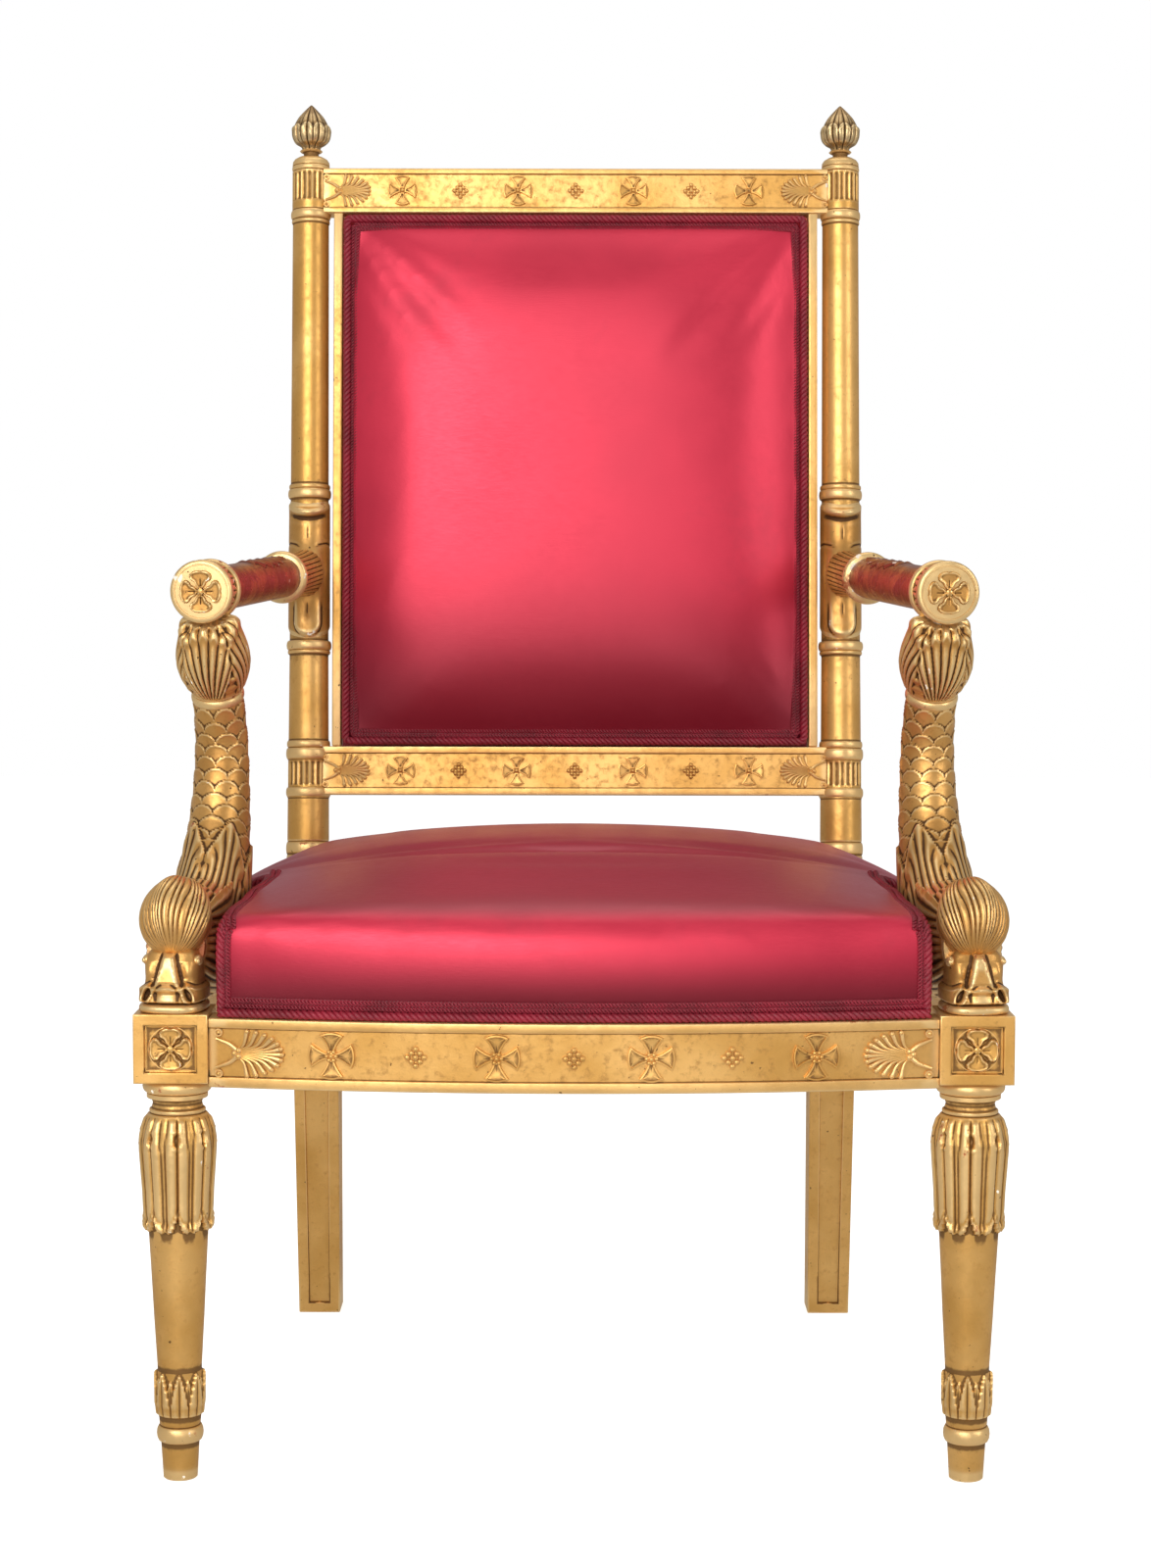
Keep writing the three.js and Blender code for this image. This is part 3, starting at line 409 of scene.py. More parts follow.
goldLook = {
    "bright": (0.8, 0.465, 0.15), "deep": (0.64, 0.34, 0.085), "dull": (0.46, 0.23, 0.06), "light": (0.95, 0.69, 0.34),
    "patina": (0.19, 0.095, 0.03), "ground": (0.36, 0.1, 0.03), "mottle": 0.55, "dirt": 0.9, "polish": 0.55,
    "rubFrom": 0.79, "chipFrom": 0.83, "metal": 0.75, "rough": 0.4,
}
gilding = gildedFinish("gilding", goldLook)
agedGilding = gildedFinish("agedGilding", {
    **goldLook, "bright": (0.72, 0.4, 0.125), "deep": (0.54, 0.27, 0.07), "dull": (0.33, 0.16, 0.04),
    "light": (0.9, 0.66, 0.32), "patina": (0.1, 0.045, 0.015), "polish": 0.7, "dirt": 1.0, "rubFrom": 0.77,
    "chipFrom": 0.8, "rough": 0.37,
})
darkGilding = gildedFinish("darkGilding", {
    **goldLook, "bright": (0.36, 0.22, 0.09), "deep": (0.22, 0.13, 0.05), "dull": (0.15, 0.085, 0.035),
    "light": (0.82, 0.62, 0.33), "patina": (0.07, 0.035, 0.015), "polish": 0.75, "dirt": 1.0, "rough": 0.35,
})
redGilding = gildedFinish("redGilding", {
    **goldLook, "bright": (0.46, 0.19, 0.065), "deep": (0.3, 0.09, 0.03), "dull": (0.17, 0.045, 0.017),
    "light": (0.62, 0.36, 0.14), "ground": (0.2, 0.042, 0.018), "patina": (0.07, 0.022, 0.01), "rubFrom": 0.52,
    "chipFrom": 0.74, "metal": 0.6, "rough": 0.33,
})
print("gilded finishes made")

# Front legs: a turned and carved column under a square block

leg = {
    "sides": 112, "leaves": 8, "sleeveLow": 191, "sleeveHigh": 278.4, "eyeZ": 261.5, "eyeHalf": (1.9, 6),
    "cupLow": 50, "cupHigh": 83, "blockLow": 304.5, "blockHigh": 356, "border": 8, "sunk": 3, "rosette": 16.8,
}


def legShaft(z):
    return np.interp(z, [83, 88, 124, 154, 191, 202], [16.5, 16.7, 18.8, 20.3, 22.3, 22.6])


def carveLeg(angle, z, r):
    # leaf sleeve, a seam between leaves to the front
    u = np.abs(aroundEach(angle, leg["leaves"], 0.63))
    width = 2 * math.pi * 26.5 / leg["leaves"]
    seam = (0.5 - u) * width
    x = u * width
    rib = 1.7 + 1.4 * smoothStep(245, 275, z)
    lobe = np.clip((x - rib) / (width / 2 - rib), 0, 1)
    cut = 1.35 * np.sin(math.pi * lobe) ** 0.8 - 1.7 * hump(seam, 0, 0.75) - 0.9 * hump(x, rib, 0.55)
    eye = np.sqrt((seam / leg["eyeHalf"][0]) ** 2 + ((z - leg["eyeZ"]) / leg["eyeHalf"][1]) ** 2)
    cut = cut * smoothStep(0.8, 1.4, eye) - 3.0 * (1 - smoothStep(0.55, 1.05, eye)) + 0.7 * hump(eye, 1.25, 0.2)
    edge = leg["sleeveLow"] + 10 * np.clip(1 - seam / 4.4, 0, 1) ** 0.8 + 0.9 * np.cos(x * 1.25)
    cut += 1.1 * hump(z, edge + 3.2, 2.6) - 0.6 * hump(z, edge + 8, 3)
    onSleeve = smoothStep(edge - 0.5, edge + 0.7, z)
    sleeve = legShaft(z) + (r + cut * smoothStep(leg["sleeveHigh"] + 0.2, 273, z) - legShaft(z)) * onSleeve
    # leaf cup over the foot ring, tips upwards in two layers
    u = np.abs(aroundEach(angle, leg["leaves"], 0.13))
    width = 2 * math.pi * 18 / leg["leaves"]
    x = u * width
    high = leg["cupHigh"]
    front = smoothStep(-0.35, 0.35, 6.9 * np.clip((high - z) / 26, 0, 1) ** 0.6 - x - 0.3)
    rear = smoothStep(-0.35, 0.35, 5 * np.clip((high - 5 - z) / 24, 0, 1) ** 0.6 - (0.5 - u) * width - 0.2)
    swell = 0.5 + 0.9 * smoothStep(50, 60, z)
    layer = np.maximum(front * (1.8 * swell + 0.5 * hump(x, 3.2, 2) - 0.7 * hump(x, 0, 0.45)),
                       rear * (1.0 * swell - 0.4 * hump((0.5 - u) * width, 0, 0.4)))
    cup = np.maximum(r - 1.9, legShaft(z)) * smoothStep(50, 56, z) + r * (1 - smoothStep(50, 56, z)) + layer
    inSleeve = (z > leg["sleeveLow"] - 0.01) & (z < leg["sleeveHigh"] + 0.1)
    inCup = (z > leg["cupLow"] - 0.01) & (z < high + 0.4)
    return np.where(inSleeve, sleeve, np.where(inCup, cup, r))


# Carved flower of four broad petals, raised from a flat ground; its face looks along +Z
def carvedRosette(name, radius, relief, space, rows=30, sides=88):
    r = np.linspace(0.03, 1, rows)[:, None] ** 0.85 * radius
    angle = np.linspace(0, 2 * math.pi, sides, endpoint=False)[None, :]
    u = aroundEach(angle, 4) * math.pi / 2
    slot = r * np.sin(math.pi / 4 - np.abs(u))
    gap = 0.25 + 1.1 * hump(r / radius, 0.52, 0.15) + 0.9 * np.clip(r / radius - 0.66, 0, 1) ** 1.3 * radius
    reach = r / radius * (1 + 0.13 * np.abs(u / 0.65) ** 3 + 0.06 * hump(u, 0, 0.13))
    petal = smoothStep(-0.2, 0.75, slot - gap) * smoothStep(1.0, 0.93, reach)
    rise = relief * petal * (0.62 + 0.38 * (r / radius) ** 1.5)
    rise += 0.35 * relief * petal * hump(slot, gap + 1.3, 0.9) + 0.2 * relief * petal * hump(r / radius, 0.88, 0.05)
    lines = np.minimum(np.abs(r * np.sin(u)), np.abs(slot) + 0 * r)
    rise -= 0.55 * hump(lines, 0, 0.35) * smoothStep(0.62, 0.5, r / radius) * smoothStep(0.2, 0.26, r / radius)
    boss = 0.17 * radius
    rise = np.where(r < boss, relief * 0.75 + 1.3 * np.sqrt(np.clip(1 - (r / boss) ** 2, 0, 1)), rise)
    rise += 0.4 * hump(r, boss * 1.25, 0.35)
    top = np.stack([r * np.cos(angle), r * np.sin(angle), rise], -1)
    foot = top[-1:].copy()
    foot[..., 2] = -1.5
    return shell(name, np.concatenate([top, foot]), space)


def makeFrontLeg():
    carved = [(83, 18.7), (83.3, 16.6)]
    low = [(0, 11.8), (0.8, 12.8), (28, 14.4)] + bead(28.6, 41, 14.8, 2.8) + [(42, 15.4), (47, 15.8), (49, 16.4)]
    column = finely(low, 4) + finely([(50, 16.8), (58, 18.2), carved[0]], 0.85) + carved[1:]
    column += finely([(88, 16.7), (124, 18.8), (154, 20.3), (190.6, 22.3)], 6)
    column += finely([(191, 24.6), (220, 25.7), (238, 27), (251, 27.9), (259, 27.9), (268, 26.5), (274.5, 24.4),
                      (leg["sleeveHigh"], 22.2)], 0.8)
    column += [(279.2, 20.3)] + bead(279.5, 282.4, 20.2, 0.9, 5) + finely([(283, 19.3), (286.5, 18.3), (289.8, 19.4)], 1.4)
    column += [(290.3, 20.2), (290.5, 22.4), (291, 22.8), (293.8, 22.8), (294.2, 22.3)]
    column += bead(294.5, 304.2, 21.8, 4.1, 9) + [(306, 21)]
    space = chairSpace @ Matrix.Translation((chair["legX"], 0, 0))
    parts = [turned("column", column, leg["sides"], space, carveLeg)]
    half, edge = chair["blockSize"] / 2, chair["blockSize"] / 2 - leg["border"]
    low, high = leg["blockLow"], leg["blockHigh"]
    x = chair["blockX"]
    block = addBox("block", (x - half, -half, low), (x + half, half, high), chairSpace)
    chooseFaces(block, lambda face: face.normal.y < -0.9 or face.normal.x > 0.9)
    bpy.ops.mesh.inset(thickness=leg["border"] * mm, depth=0, use_individual=True)
    bpy.ops.mesh.inset(thickness=0.5 * mm, depth=-leg["sunk"] * mm, use_individual=True)
    bpy.ops.mesh.inset(thickness=0.9 * mm, depth=0, use_individual=True)
    bpy.ops.mesh.inset(thickness=0.4 * mm, depth=-0.4 * mm, use_individual=True)
    bpy.ops.object.mode_set(mode="OBJECT")
    bevelled(block, 0.7)
    parts.append(applied(block, "SUBSURF", subdivision_type="SIMPLE", levels=3, render_levels=3))
    middle = (low + high) / 2
    front = Matrix.Translation((x, -half + leg["sunk"], middle)) @ Matrix.Rotation(math.pi / 2, 4, "X")
    outer = Matrix.Translation((x + half - leg["sunk"], 0, middle)) @ Matrix.Rotation(math.pi / 2, 4, "Y")
    for turn in (front, outer):
        parts.append(carvedRosette("rosette", leg["rosette"], 2.7, chairSpace @ turn))
    return markHollows(joined("front_leg_carved_right", parts))


rightLeg = makeFrontLeg()
leftLeg = mirroredCopy(rightLeg, "front_leg_carved_left")
dress(rightLeg, gilding, ["front_leg_right"])
dress(leftLeg, gilding, ["front_leg_left"])
print("front legs carved")

# Rear uprights: a splayed square leg that turns into a reclined stile with rings and flutes

stile = {"sides": 120, "flutes": 20, "bands": [(137, 160.5), (669.5, 697)], "fluteDepth": 1.25}
backLeg = {"x": 234, "foot": (37.5, 488), "head": (42.5, 449), "border": 8.5, "sunk": 2.4, "panel": (15, 296)}


def stileRadius(s):
    return np.interp(s, [0, 110, 220, 430, 650, 720], [19, 18.8, 17.7, 17.1, 16.4, 16.3])


def carveStile(angle, s, r):
    u = np.abs(aroundEach(angle, stile["flutes"]))
    for low, high in stile["bands"]:
        ends = smoothStep(low, low + 2.5, s) * smoothStep(high, high - 2.5, s)
        r = r - stile["fluteDepth"] * ends * np.clip(1 - (u / 0.36) ** 2, 0, 1) ** 0.5
    return r


def makeUpright():
    def plain(low, high):
        return finely([(s, float(stileRadius(s))) for s in (low, low + 1.2, high - 1.2, high)], 12)

    profile = [(0, 19.5), (74, 19.4)] + bead(75, 86.5, 18.8, 1.2) + [(87.2, 18.4)] + plain(88, 126.5)
    profile += [(127, 19.2)] + bead(127.6, 135.8, 19.1, 1.2) + [(136.2, 18.6)]
    profile += finely([(136.6, 18.5), (161, 18.4)], 1.1) + [(161.4, 19.2)] + bead(161.8, 171.6, 19, 1.3)
    profile += bead(172.2, 178.4, 18.4, 1.2) + plain(179, 256) + bead(257, 260.5, 18.4, 0.9)
    profile += bead(260.8, 269, 18.8, 1.5) + plain(269.5, 397.5) + bead(398.4, 407, 18, 1.5)
    profile += bead(407.2, 411.2, 17.8, 0.8) + plain(412, 649.5) + bead(650, 653.4, 16.6, 0.7, 5)
    profile += bead(654, 662, 16.7, 1.5) + [(662.6, 16.4)] + finely([(663, 16.9), (697.5, 16.9)], 1.1)
    profile += [(697.8, 16.4)] + bead(698.2, 703, 16.2, 1.1, 5) + [(703.3, 16.9), (706.5, 16.6)]
    profile += [(709, 14.9), (711, 11.6), (711.9, 8), (712.5, 6.8), (715.6, 6.8)] + bead(715.8, 718.4, 7, 3.3, 5)
    space = backSpace @ Matrix.Translation((chair["stileX"], 0, 0))
    round_ = turned("stile", profile, stile["sides"], space, carveStile)
    (foot, footFront), (head, headFront) = backLeg["foot"], backLeg["head"]
    x = backLeg["x"]
    square = addBox("square", (x - head / 2, headFront, 0), (x + head / 2, headFront + head, 352.6), chairSpace)
    chooseFaces(square, lambda face: face.normal.z < -0.9)
    shift = (0, ((footFront + foot / 2) - (headFront + head / 2)) * mm, 0)
    bpy.ops.transform.translate(value=shift)
    bpy.ops.transform.resize(value=(foot / head, foot / head, 1))
    bpy.ops.object.mode_set(mode="OBJECT")
    applied(square, "BEVEL", width=0.9 * mm, segments=2, limit_method="ANGLE", angle_limit=0.6)
    # the sunk panel on the front face stops short of both ends
    parts = [square, round_]
    low, high = backLeg["panel"]
    chooseFaces(square, lambda face: face.normal.y < -0.9 and face.area > 0.004)
    bpy.ops.mesh.inset(thickness=backLeg["border"] * mm, depth=0, use_individual=True)
    bpy.ops.mesh.inset(thickness=0.6 * mm, depth=-backLeg["sunk"] * mm, use_individual=True)
    bpy.ops.mesh.inset(thickness=0.8 * mm, depth=0, use_individual=True)
    bpy.ops.object.mode_set(mode="OBJECT")
    applied(square, "SUBSURF", subdivision_type="SIMPLE", levels=3, render_levels=3)
    return markHollows(joined("back_upright_carved_right", parts), depth=0.5)


rightUpright = makeUpright()
leftUpright = mirroredCopy(rightUpright, "back_upright_carved_left")
dress(rightUpright, gilding, ["back_upright_right"])
dress(leftUpright, gilding, ["back_upright_left"])

# Finials: closed buds of long pointed leaves in a short calyx

finial = {"base": 718.2, "height": 41.6, "radius": 16.2, "leaves": 9, "sides": 108}


def carveFinial(angle, z, r):
    up = z / finial["height"]
    u = np.abs(aroundEach(angle, finial["leaves"], 0.5))
    body = r + 1.1 * np.clip(1 - (u / 0.5) ** 2, 0, 1) * smoothStep(0.98, 0.7, up) - 0.9 * hump(u, 0.5, 0.07)
    body -= 0.6 * hump(u, 0, 0.06) * smoothStep(0.3, 0.5, up) * smoothStep(0.95, 0.7, up)
    v = np.abs(aroundEach(angle, finial["leaves"]))
    top = 0.44 + 0.12 * (1 - (2 * v) ** 2)
    calyx = smoothStep(top + 0.015, top - 0.03, up) * smoothStep(0.06, 0.16, up)
    return body + calyx * (1.2 + 0.5 * hump(up, top - 0.05, 0.05) - 0.6 * hump(v, 0, 0.05) - 0.8 * hump(v, 0.5, 0.05))


def makeFinial():
    shape = [(0, 0.42), (0.04, 0.47), (0.09, 0.55), (0.16, 0.78), (0.24, 0.91), (0.33, 0.965), (0.45, 0.95),
             (0.57, 0.86), (0.7, 0.68), (0.82, 0.45), (0.92, 0.24), (0.985, 0.08), (1, 0.03)]
    rows = curved([(finial["height"] * up, finial["radius"] * out) for up, out in shape], 60)
    space = backSpace @ Matrix.Translation((chair["stileX"], 0, finial["base"]))
    return markHollows(turned("finial_carved_right", rows, finial["sides"], space, carveFinial), 6, 0.35)


rightFinial = makeFinial()
leftFinial = mirroredCopy(rightFinial, "finial_carved_left")
dress(rightFinial, darkGilding, ["finial_right"], 60)
dress(leftFinial, darkGilding, ["finial_left"], 60)
print("uprights and finials turned")

# Arms: a drum with a rosette, a worn round bar, a rear ring and a leaf saddle on the stile

armLine = math.atan2(chair["blockX"] - chair["stileX"], chair["stileY"])
arm = {
    "frontReach": 88, "frontZ": 666.5, "rearZ": 680, "drum": 24.5, "bar": 17.8, "ring": 298, "bandLeaves": 14,
    "saddle": (271, 396), "leafOnTop": (150, 288),
}
armStart = Vector((chair["blockX"] - arm["frontReach"] * math.sin(armLine), arm["frontReach"] * math.cos(armLine),
                   arm["frontZ"]))
armEnd = Vector((chair["stileX"], chair["stileY"] + (arm["rearZ"] - chair["pivotZ"]) * math.tan(math.radians(6)),
                 arm["rearZ"]))
armLength = (armEnd - armStart).length
armAlong = (armEnd - armStart).normalized()
armAcross = Vector((armAlong.y, -armAlong.x, 0)).normalized()
armUp = armAcross.cross(armAlong)
armSpace = chairSpace @ Matrix.Translation(armStart) @ Matrix((armAcross, armUp, armAlong)).transposed().to_4x4()


def carveDrum(angle, z, r):
    u = np.abs(aroundEach(angle, arm["bandLeaves"]))
    v = (z - 9.5) / 19
    leaf = smoothStep(-0.08, 0.1, 0.46 * np.sin(math.pi * np.clip(v * 0.8 + 0.2, 0, 1)) ** 0.7 - u)
    cut = leaf * (1.5 - 0.9 * hump(u, 0, 0.05)) + 0.8 * hump(v, 0.5, 0.12) * hump(u, 0.5, 0.12)
    return r + cut * smoothStep(-0.02, 0.06, v) * smoothStep(1.02, 0.94, v)


def carveBar(angle, z, r):
    low, high = arm["leafOnTop"]
    v = (z - low) / (high - low)
    x = (angle - math.pi / 2) * arm["bar"]
    half = 13 * np.sin(math.pi * np.clip(0.12 + 0.88 * v, 0, 1)) ** 0.6 + 2.2 * np.cos(v * 34)
    inside = smoothStep(-0.8, 0.8, half - np.abs(x)) * smoothStep(0, 0.04, v) * smoothStep(1, 0.97, v)
    veins = 0.5 + 0.5 * np.cos((np.abs(x) * 0.62 - v * 30))
    return r + inside * (0.9 + 0.9 * veins - 0.9 * hump(x, 0, 1.0))


def makeSaddle():
    sc = armLength_s
    phi = np.radians(np.linspace(-112, 112, 61))
    v = np.linspace(0, 1, 84)[:, None]
    fold = np.abs(phi) / phi[-1]
    low = arm["saddle"][0] + 12 * fold ** 2
    high = arm["saddle"][1] - 3.5 * np.cos(phi * 1.6) * (1 - fold ** 2) - 3 * fold ** 2
    s = low + v * (high - low)
    x = phi * 18
    away = np.sqrt((s - sc) ** 2 + (x * 1.1) ** 2)
    toFront = np.clip(np.cos(phi), 0, 1)
    rise = 1.2 + 4.6 * hump(s, high - 3.5 - 4.5 * toFront, 3.6) * toFront ** 1.6
    rise -= 0.8 * hump(s, high - 14, 3) * toFront
    tongue = smoothStep(12.5, 9.5, np.sqrt(x ** 2 + (np.clip(low + 12.5 - s, 0, 20)) ** 2))
    rise += 3.8 * tongue * smoothStep(low + 40, low + 12, s) - 0.7 * toFront * hump(s, low + 3, 3) * (1 - tongue)
    rise += 10 * hump(away, 0, 21) * toFront ** 0.7
    turn = np.arctan2(x, s - sc)
    veins = hump(np.abs(turn) - 0.035 * away + 0.5, 0, 0.05) * smoothStep(20, 26, away) * smoothStep(46, 36, away)
    rise -= 0.8 * veins + 0.5 * hump(x, 0, 0.7) * smoothStep(26, 32, away) * smoothStep(44, 36, away)
    rise = rise * smoothStep(1, 0.86, fold) * smoothStep(0, 0.03, v) * smoothStep(1, 0.975, v)
    reach = stileRadius(s) + rise + 0.2
    outer = np.stack([reach * np.sin(phi), -reach * np.cos(phi), s], -1)
    inner = stileRadius(s) - 2.5
    back = np.stack([inner * np.sin(phi), -inner * np.cos(phi), s], -1)[:, ::-1]
    space = backSpace @ Matrix.Translation((chair["stileX"], 0, 0))
    return shell("saddle", np.concatenate([outer, back], 1), space)


armLength_s = (arm["rearZ"] - chair["pivotZ"]) / math.cos(math.radians(chair["recline"]))


def makeArm():
    drum = [(0, 21.2), (0.1, 22.6), (0.7, 23.8), (2, 24.4), (6.6, 24.5), (7.8, 24), (8.4, 22.6)]
    drum += finely([(8.8, 21.4), (28.8, 21.2)], 0.9) + bead(29.2, 37, 21.6, 2.7, 9) + [(37.8, 20.6), (38.6, 18.4)]
    parts = [turned("drum", drum + [(40, 17)], 112, armSpace, carveDrum)]
    face = armSpace @ Matrix.Rotation(math.pi, 4, "Y")
    parts.append(carvedRosette("rosette", 17.3, 2.6, face @ Matrix.Translation((0, 0, -0.6))))
    rim = curved([(20.3, -0.2), (20.9, -0.9), (21.6, -0.2)], 7)
    angle = np.linspace(0, 2 * math.pi, 65)[:-1]
    loop = np.array([(20.9 * math.cos(a), 20.9 * math.sin(a), -0.1) for a in angle])
    parts.append(closedTube("rim", loop, 0.6, armSpace, 6))
    ring = [(arm["ring"] - 3, 16)] + bead(arm["ring"] - 2, arm["ring"] + 6, 18.2, 4.6, 11)
    ring += bead(arm["ring"] + 6.4, arm["ring"] + 10, 18.2, 2.6, 7) + [(arm["ring"] + 11, 16)]
    parts.append(turned("ring", ring, 80, armSpace))

    def carveFlare(turn, z, r):
        v = np.clip((z - arm["ring"] - 8) / 100, 0, 1)
        strokes = 0.5 + 0.5 * np.cos(26 * turn + 5 * v)
        return r * (1 + 0.3 * v ** 2 * np.sin(turn) ** 2) - 0.9 * strokes ** 3 * smoothStep(0.04, 0.14, v)

    flare = curved([(arm["ring"] + 8, 19.6), (arm["ring"] + 24, 18.6), (arm["ring"] + 44, 18),
                    (arm["ring"] + 66, 17.6), (armLength - 10, 16.8)], 90)
    parts.append(turned("flare", flare, 180, armSpace, carveFlare))
    parts.append(makeSaddle())
    gilt = markHollows(joined("arm_carved_right", parts), 7, 0.4)
    rows = [(37, 17), (38, 17.8)] + finely([(39.2, 17.8), (40.4, 17.8), (148, 17.7)], 12)
    rows += finely([(150, 17.7), (290, 17.6)], 1.6) + [(arm["ring"] + 2, 17.6), (arm["ring"] + 6, 17)]
    bar = markHollows(turned("arm_bar_right", rows, 88, armSpace, carveBar), 7, 0.35)
    return gilt, bar


def closedTube(name, loop, radius, space, sides=8):
    count = len(loop)
    tangent = np.roll(loop, -1, 0) - np.roll(loop, 1, 0)
    tangent /= np.linalg.norm(tangent, axis=1)[:, None]
    up = np.array([0.0, 0.0, 1.0]) if np.abs(tangent[:, 2]).max() < 0.9 else np.array([0.0, 1.0, 0.0])
    across = np.cross(tangent, up)
    across /= np.linalg.norm(across, axis=1)[:, None]
    other = np.cross(across, tangent)
    angle = np.linspace(0, 2 * math.pi, sides, endpoint=False)[None, :, None]
    rings = loop[:, None] + radius * (np.cos(angle) * across[:, None] + np.sin(angle) * other[:, None])
    points = onto(space, rings.reshape(-1, 3))
    row = np.arange(count)[:, None] * sides
    nextRow = (row + sides) % (count * sides)
    side = np.arange(sides)[None, :]
    after = (side + 1) % sides
    quads = np.stack([row + side, nextRow + side, nextRow + after, row + after], -1).reshape(-1, 4)
    corners = np.vstack([quads[:, :3], quads[:, [0, 2, 3]]])
    a, b, c = (points[corners[:, i]] - points.mean(0) for i in range(3))
    if np.einsum("ij,ij->i", a, np.cross(b, c)).sum() < 0:
        quads = quads[:, ::-1]
    return meshPiece(name, points, quads.tolist())


rightArm, rightBar = makeArm()
leftArm = mirroredCopy(rightArm, "arm_carved_left")
leftBar = mirroredCopy(rightBar, "arm_bar_left")
for piece, bar, node in ((rightArm, rightBar, "arm_right"), (leftArm, leftBar, "arm_left")):
    dress(piece, agedGilding, [node], 50)
    dress(bar, redGilding, [node], 50)
print("arms carved")

# Dolphin arm supports: head down on the block, a scaled body behind it, a leaf cup under the arm

dolphin = {
    "sections": [  # back along the arm line, height, half width across, half depth
        (4, 404, 22, 28), (45, 399, 26, 41), (88, 404, 27, 45), (121, 437, 26, 36), (141, 476, 23.6, 27),
        (151, 513, 21.3, 22), (152, 550, 19.8, 20), (141, 586, 18.9, 19),
    ],
    "sides": 140, "rows": 200, "scalesRound": 7, "scalePitch": 11.2, "scaleRise": 1.0,
    "cupBase": (139, 589), "cupTop": (112, 645), "cupLeaves": 4, "crownRibs": 38,
}
dolphinSpace = chairSpace @ Matrix.Translation((chair["blockX"], 0, 0)) @ Matrix.Rotation(armLine, 4, "Z")


# Rows of overlapping scales, round edges upwards; returns a rise from 0 to 1
def scaleRise(angle, along):
    pitch = dolphin["scalePitch"]
    rise = np.zeros_like(along)
    found = np.zeros(along.shape, bool)
    base = np.floor(along / pitch)
    for step in range(0, 4):
        k = base + step
        u = (angle * dolphin["scalesRound"] / (2 * math.pi) + 0.5 * (k % 2)) % 1 - 0.5
        edge = k * pitch - 0.86 * pitch * (1 - np.sqrt(np.clip(1 - (1.96 * u) ** 2, 0, 1))) + pitch * 0.3
        inside = (along < edge) & ~found
        depth = (edge - along) / (1.9 * pitch)
        local = 1 - depth + 0.45 * hump(edge - along, 0.9, 0.8)
        rise = np.where(inside, local, rise)
        found |= inside
    return rise


def makeDolphinBody():
    spine = curved([(0, y, z) for y, z, _, _ in dolphin["sections"]], dolphin["rows"])
    place = np.linspace(0, 1, dolphin["rows"])
    knots = np.linspace(0, 1, len(dolphin["sections"]))
    halfWidth = curved([(w, d, 0) for _, _, w, d in dolphin["sections"]], dolphin["rows"])
    path, tangent, across, other = alongPath(spine)
    along = np.concatenate([[0], np.cumsum(np.linalg.norm(np.diff(path, axis=0), axis=1))])[:, None]
    angle = np.linspace(0, 2 * math.pi, dolphin["sides"], endpoint=False)[None, :]
    total = along[-1, 0]
    # the front of the body is where "other" points forward and up; measure angles from there
    facing = np.where(other[:, 1:2] > 0, -1.0, 1.0)
    turn = angle + math.pi / 2 * facing + 0 * along
    fromFront = np.abs((angle * facing - math.pi / 2 + math.pi) % (2 * math.pi) - math.pi)
    rise = dolphin["scaleRise"] * scaleRise(turn, along + 0 * angle)
    # leaves rise from the crown over the first scales
    u = np.abs(aroundEach(turn, 5))
    tip = total - 148 + 36 * np.clip(1 - (2 * u) ** 1.6, 0, 1) - 10 * smoothStep(0.7, 2.2, fromFront)
    leaf = smoothStep(-0.8, 0.8, tip - along)
    ribs = 0.5 + 0.5 * np.cos(2 * math.pi * 6 * u * (1.2 - 0.5 * smoothStep(tip - 40, tip, along)))
    rise = rise * (1 - leaf) + leaf * (2.0 + 1.2 * ribs ** 0.7 - 0.8 * hump(u, 0.5, 0.05))
    fade = smoothStep(0, 14, along) * smoothStep(total, total - 4, along)
    w = (halfWidth[:, 0:1] + rise * fade)[..., None]
    d = (halfWidth[:, 1:2] + rise * fade)[..., None]
    rings = path[:, None] + w * np.cos(angle)[..., None] * across[:, None] + d * np.sin(angle)[..., None] * other[:, None]
    floor = np.where(rings[..., 1] > 32, 354.2, 357.0)
    rings[..., 2] = np.maximum(rings[..., 2], floor)
    return shell("body", rings, dolphinSpace)


# Ribs like combed hair, gathered at a pole at the top back and one at the bottom front
def makeCrown():
    tilt = math.radians(36)
    turn = Matrix.Translation((0, 8, 424)) @ Matrix.Rotation(-tilt, 4, "X")
    polar = np.linspace(0.05, math.pi - 0.05, 66)[:, None]
    angle = np.linspace(0, 2 * math.pi, 266, endpoint=False)[None, :]
    uneven = angle + 0.05 * np.sin(5 * angle) + 0.03 * np.sin(11 * angle + 1) + 0.1 * np.sin(2.4 * polar)
    ribs = np.abs(np.cos(dolphin["crownRibs"] / 2 * uneven)) ** 0.7
    swell = 1 + 0.045 * np.sin(polar) ** 2 * np.cos(5 * angle + 0.7)
    lift = 1.9 * (ribs - 0.6) * np.sin(polar) ** 0.6
    x = (26 * swell + lift) * np.sin(polar) * np.cos(angle)
    y = (29.5 * swell + lift) * np.sin(polar) * np.sin(angle)
    z = (32 * swell + lift * 0.3) * np.cos(polar) + 0 * angle
    return shell("crown", np.stack([x, y, z], -1), dolphinSpace @ turn)


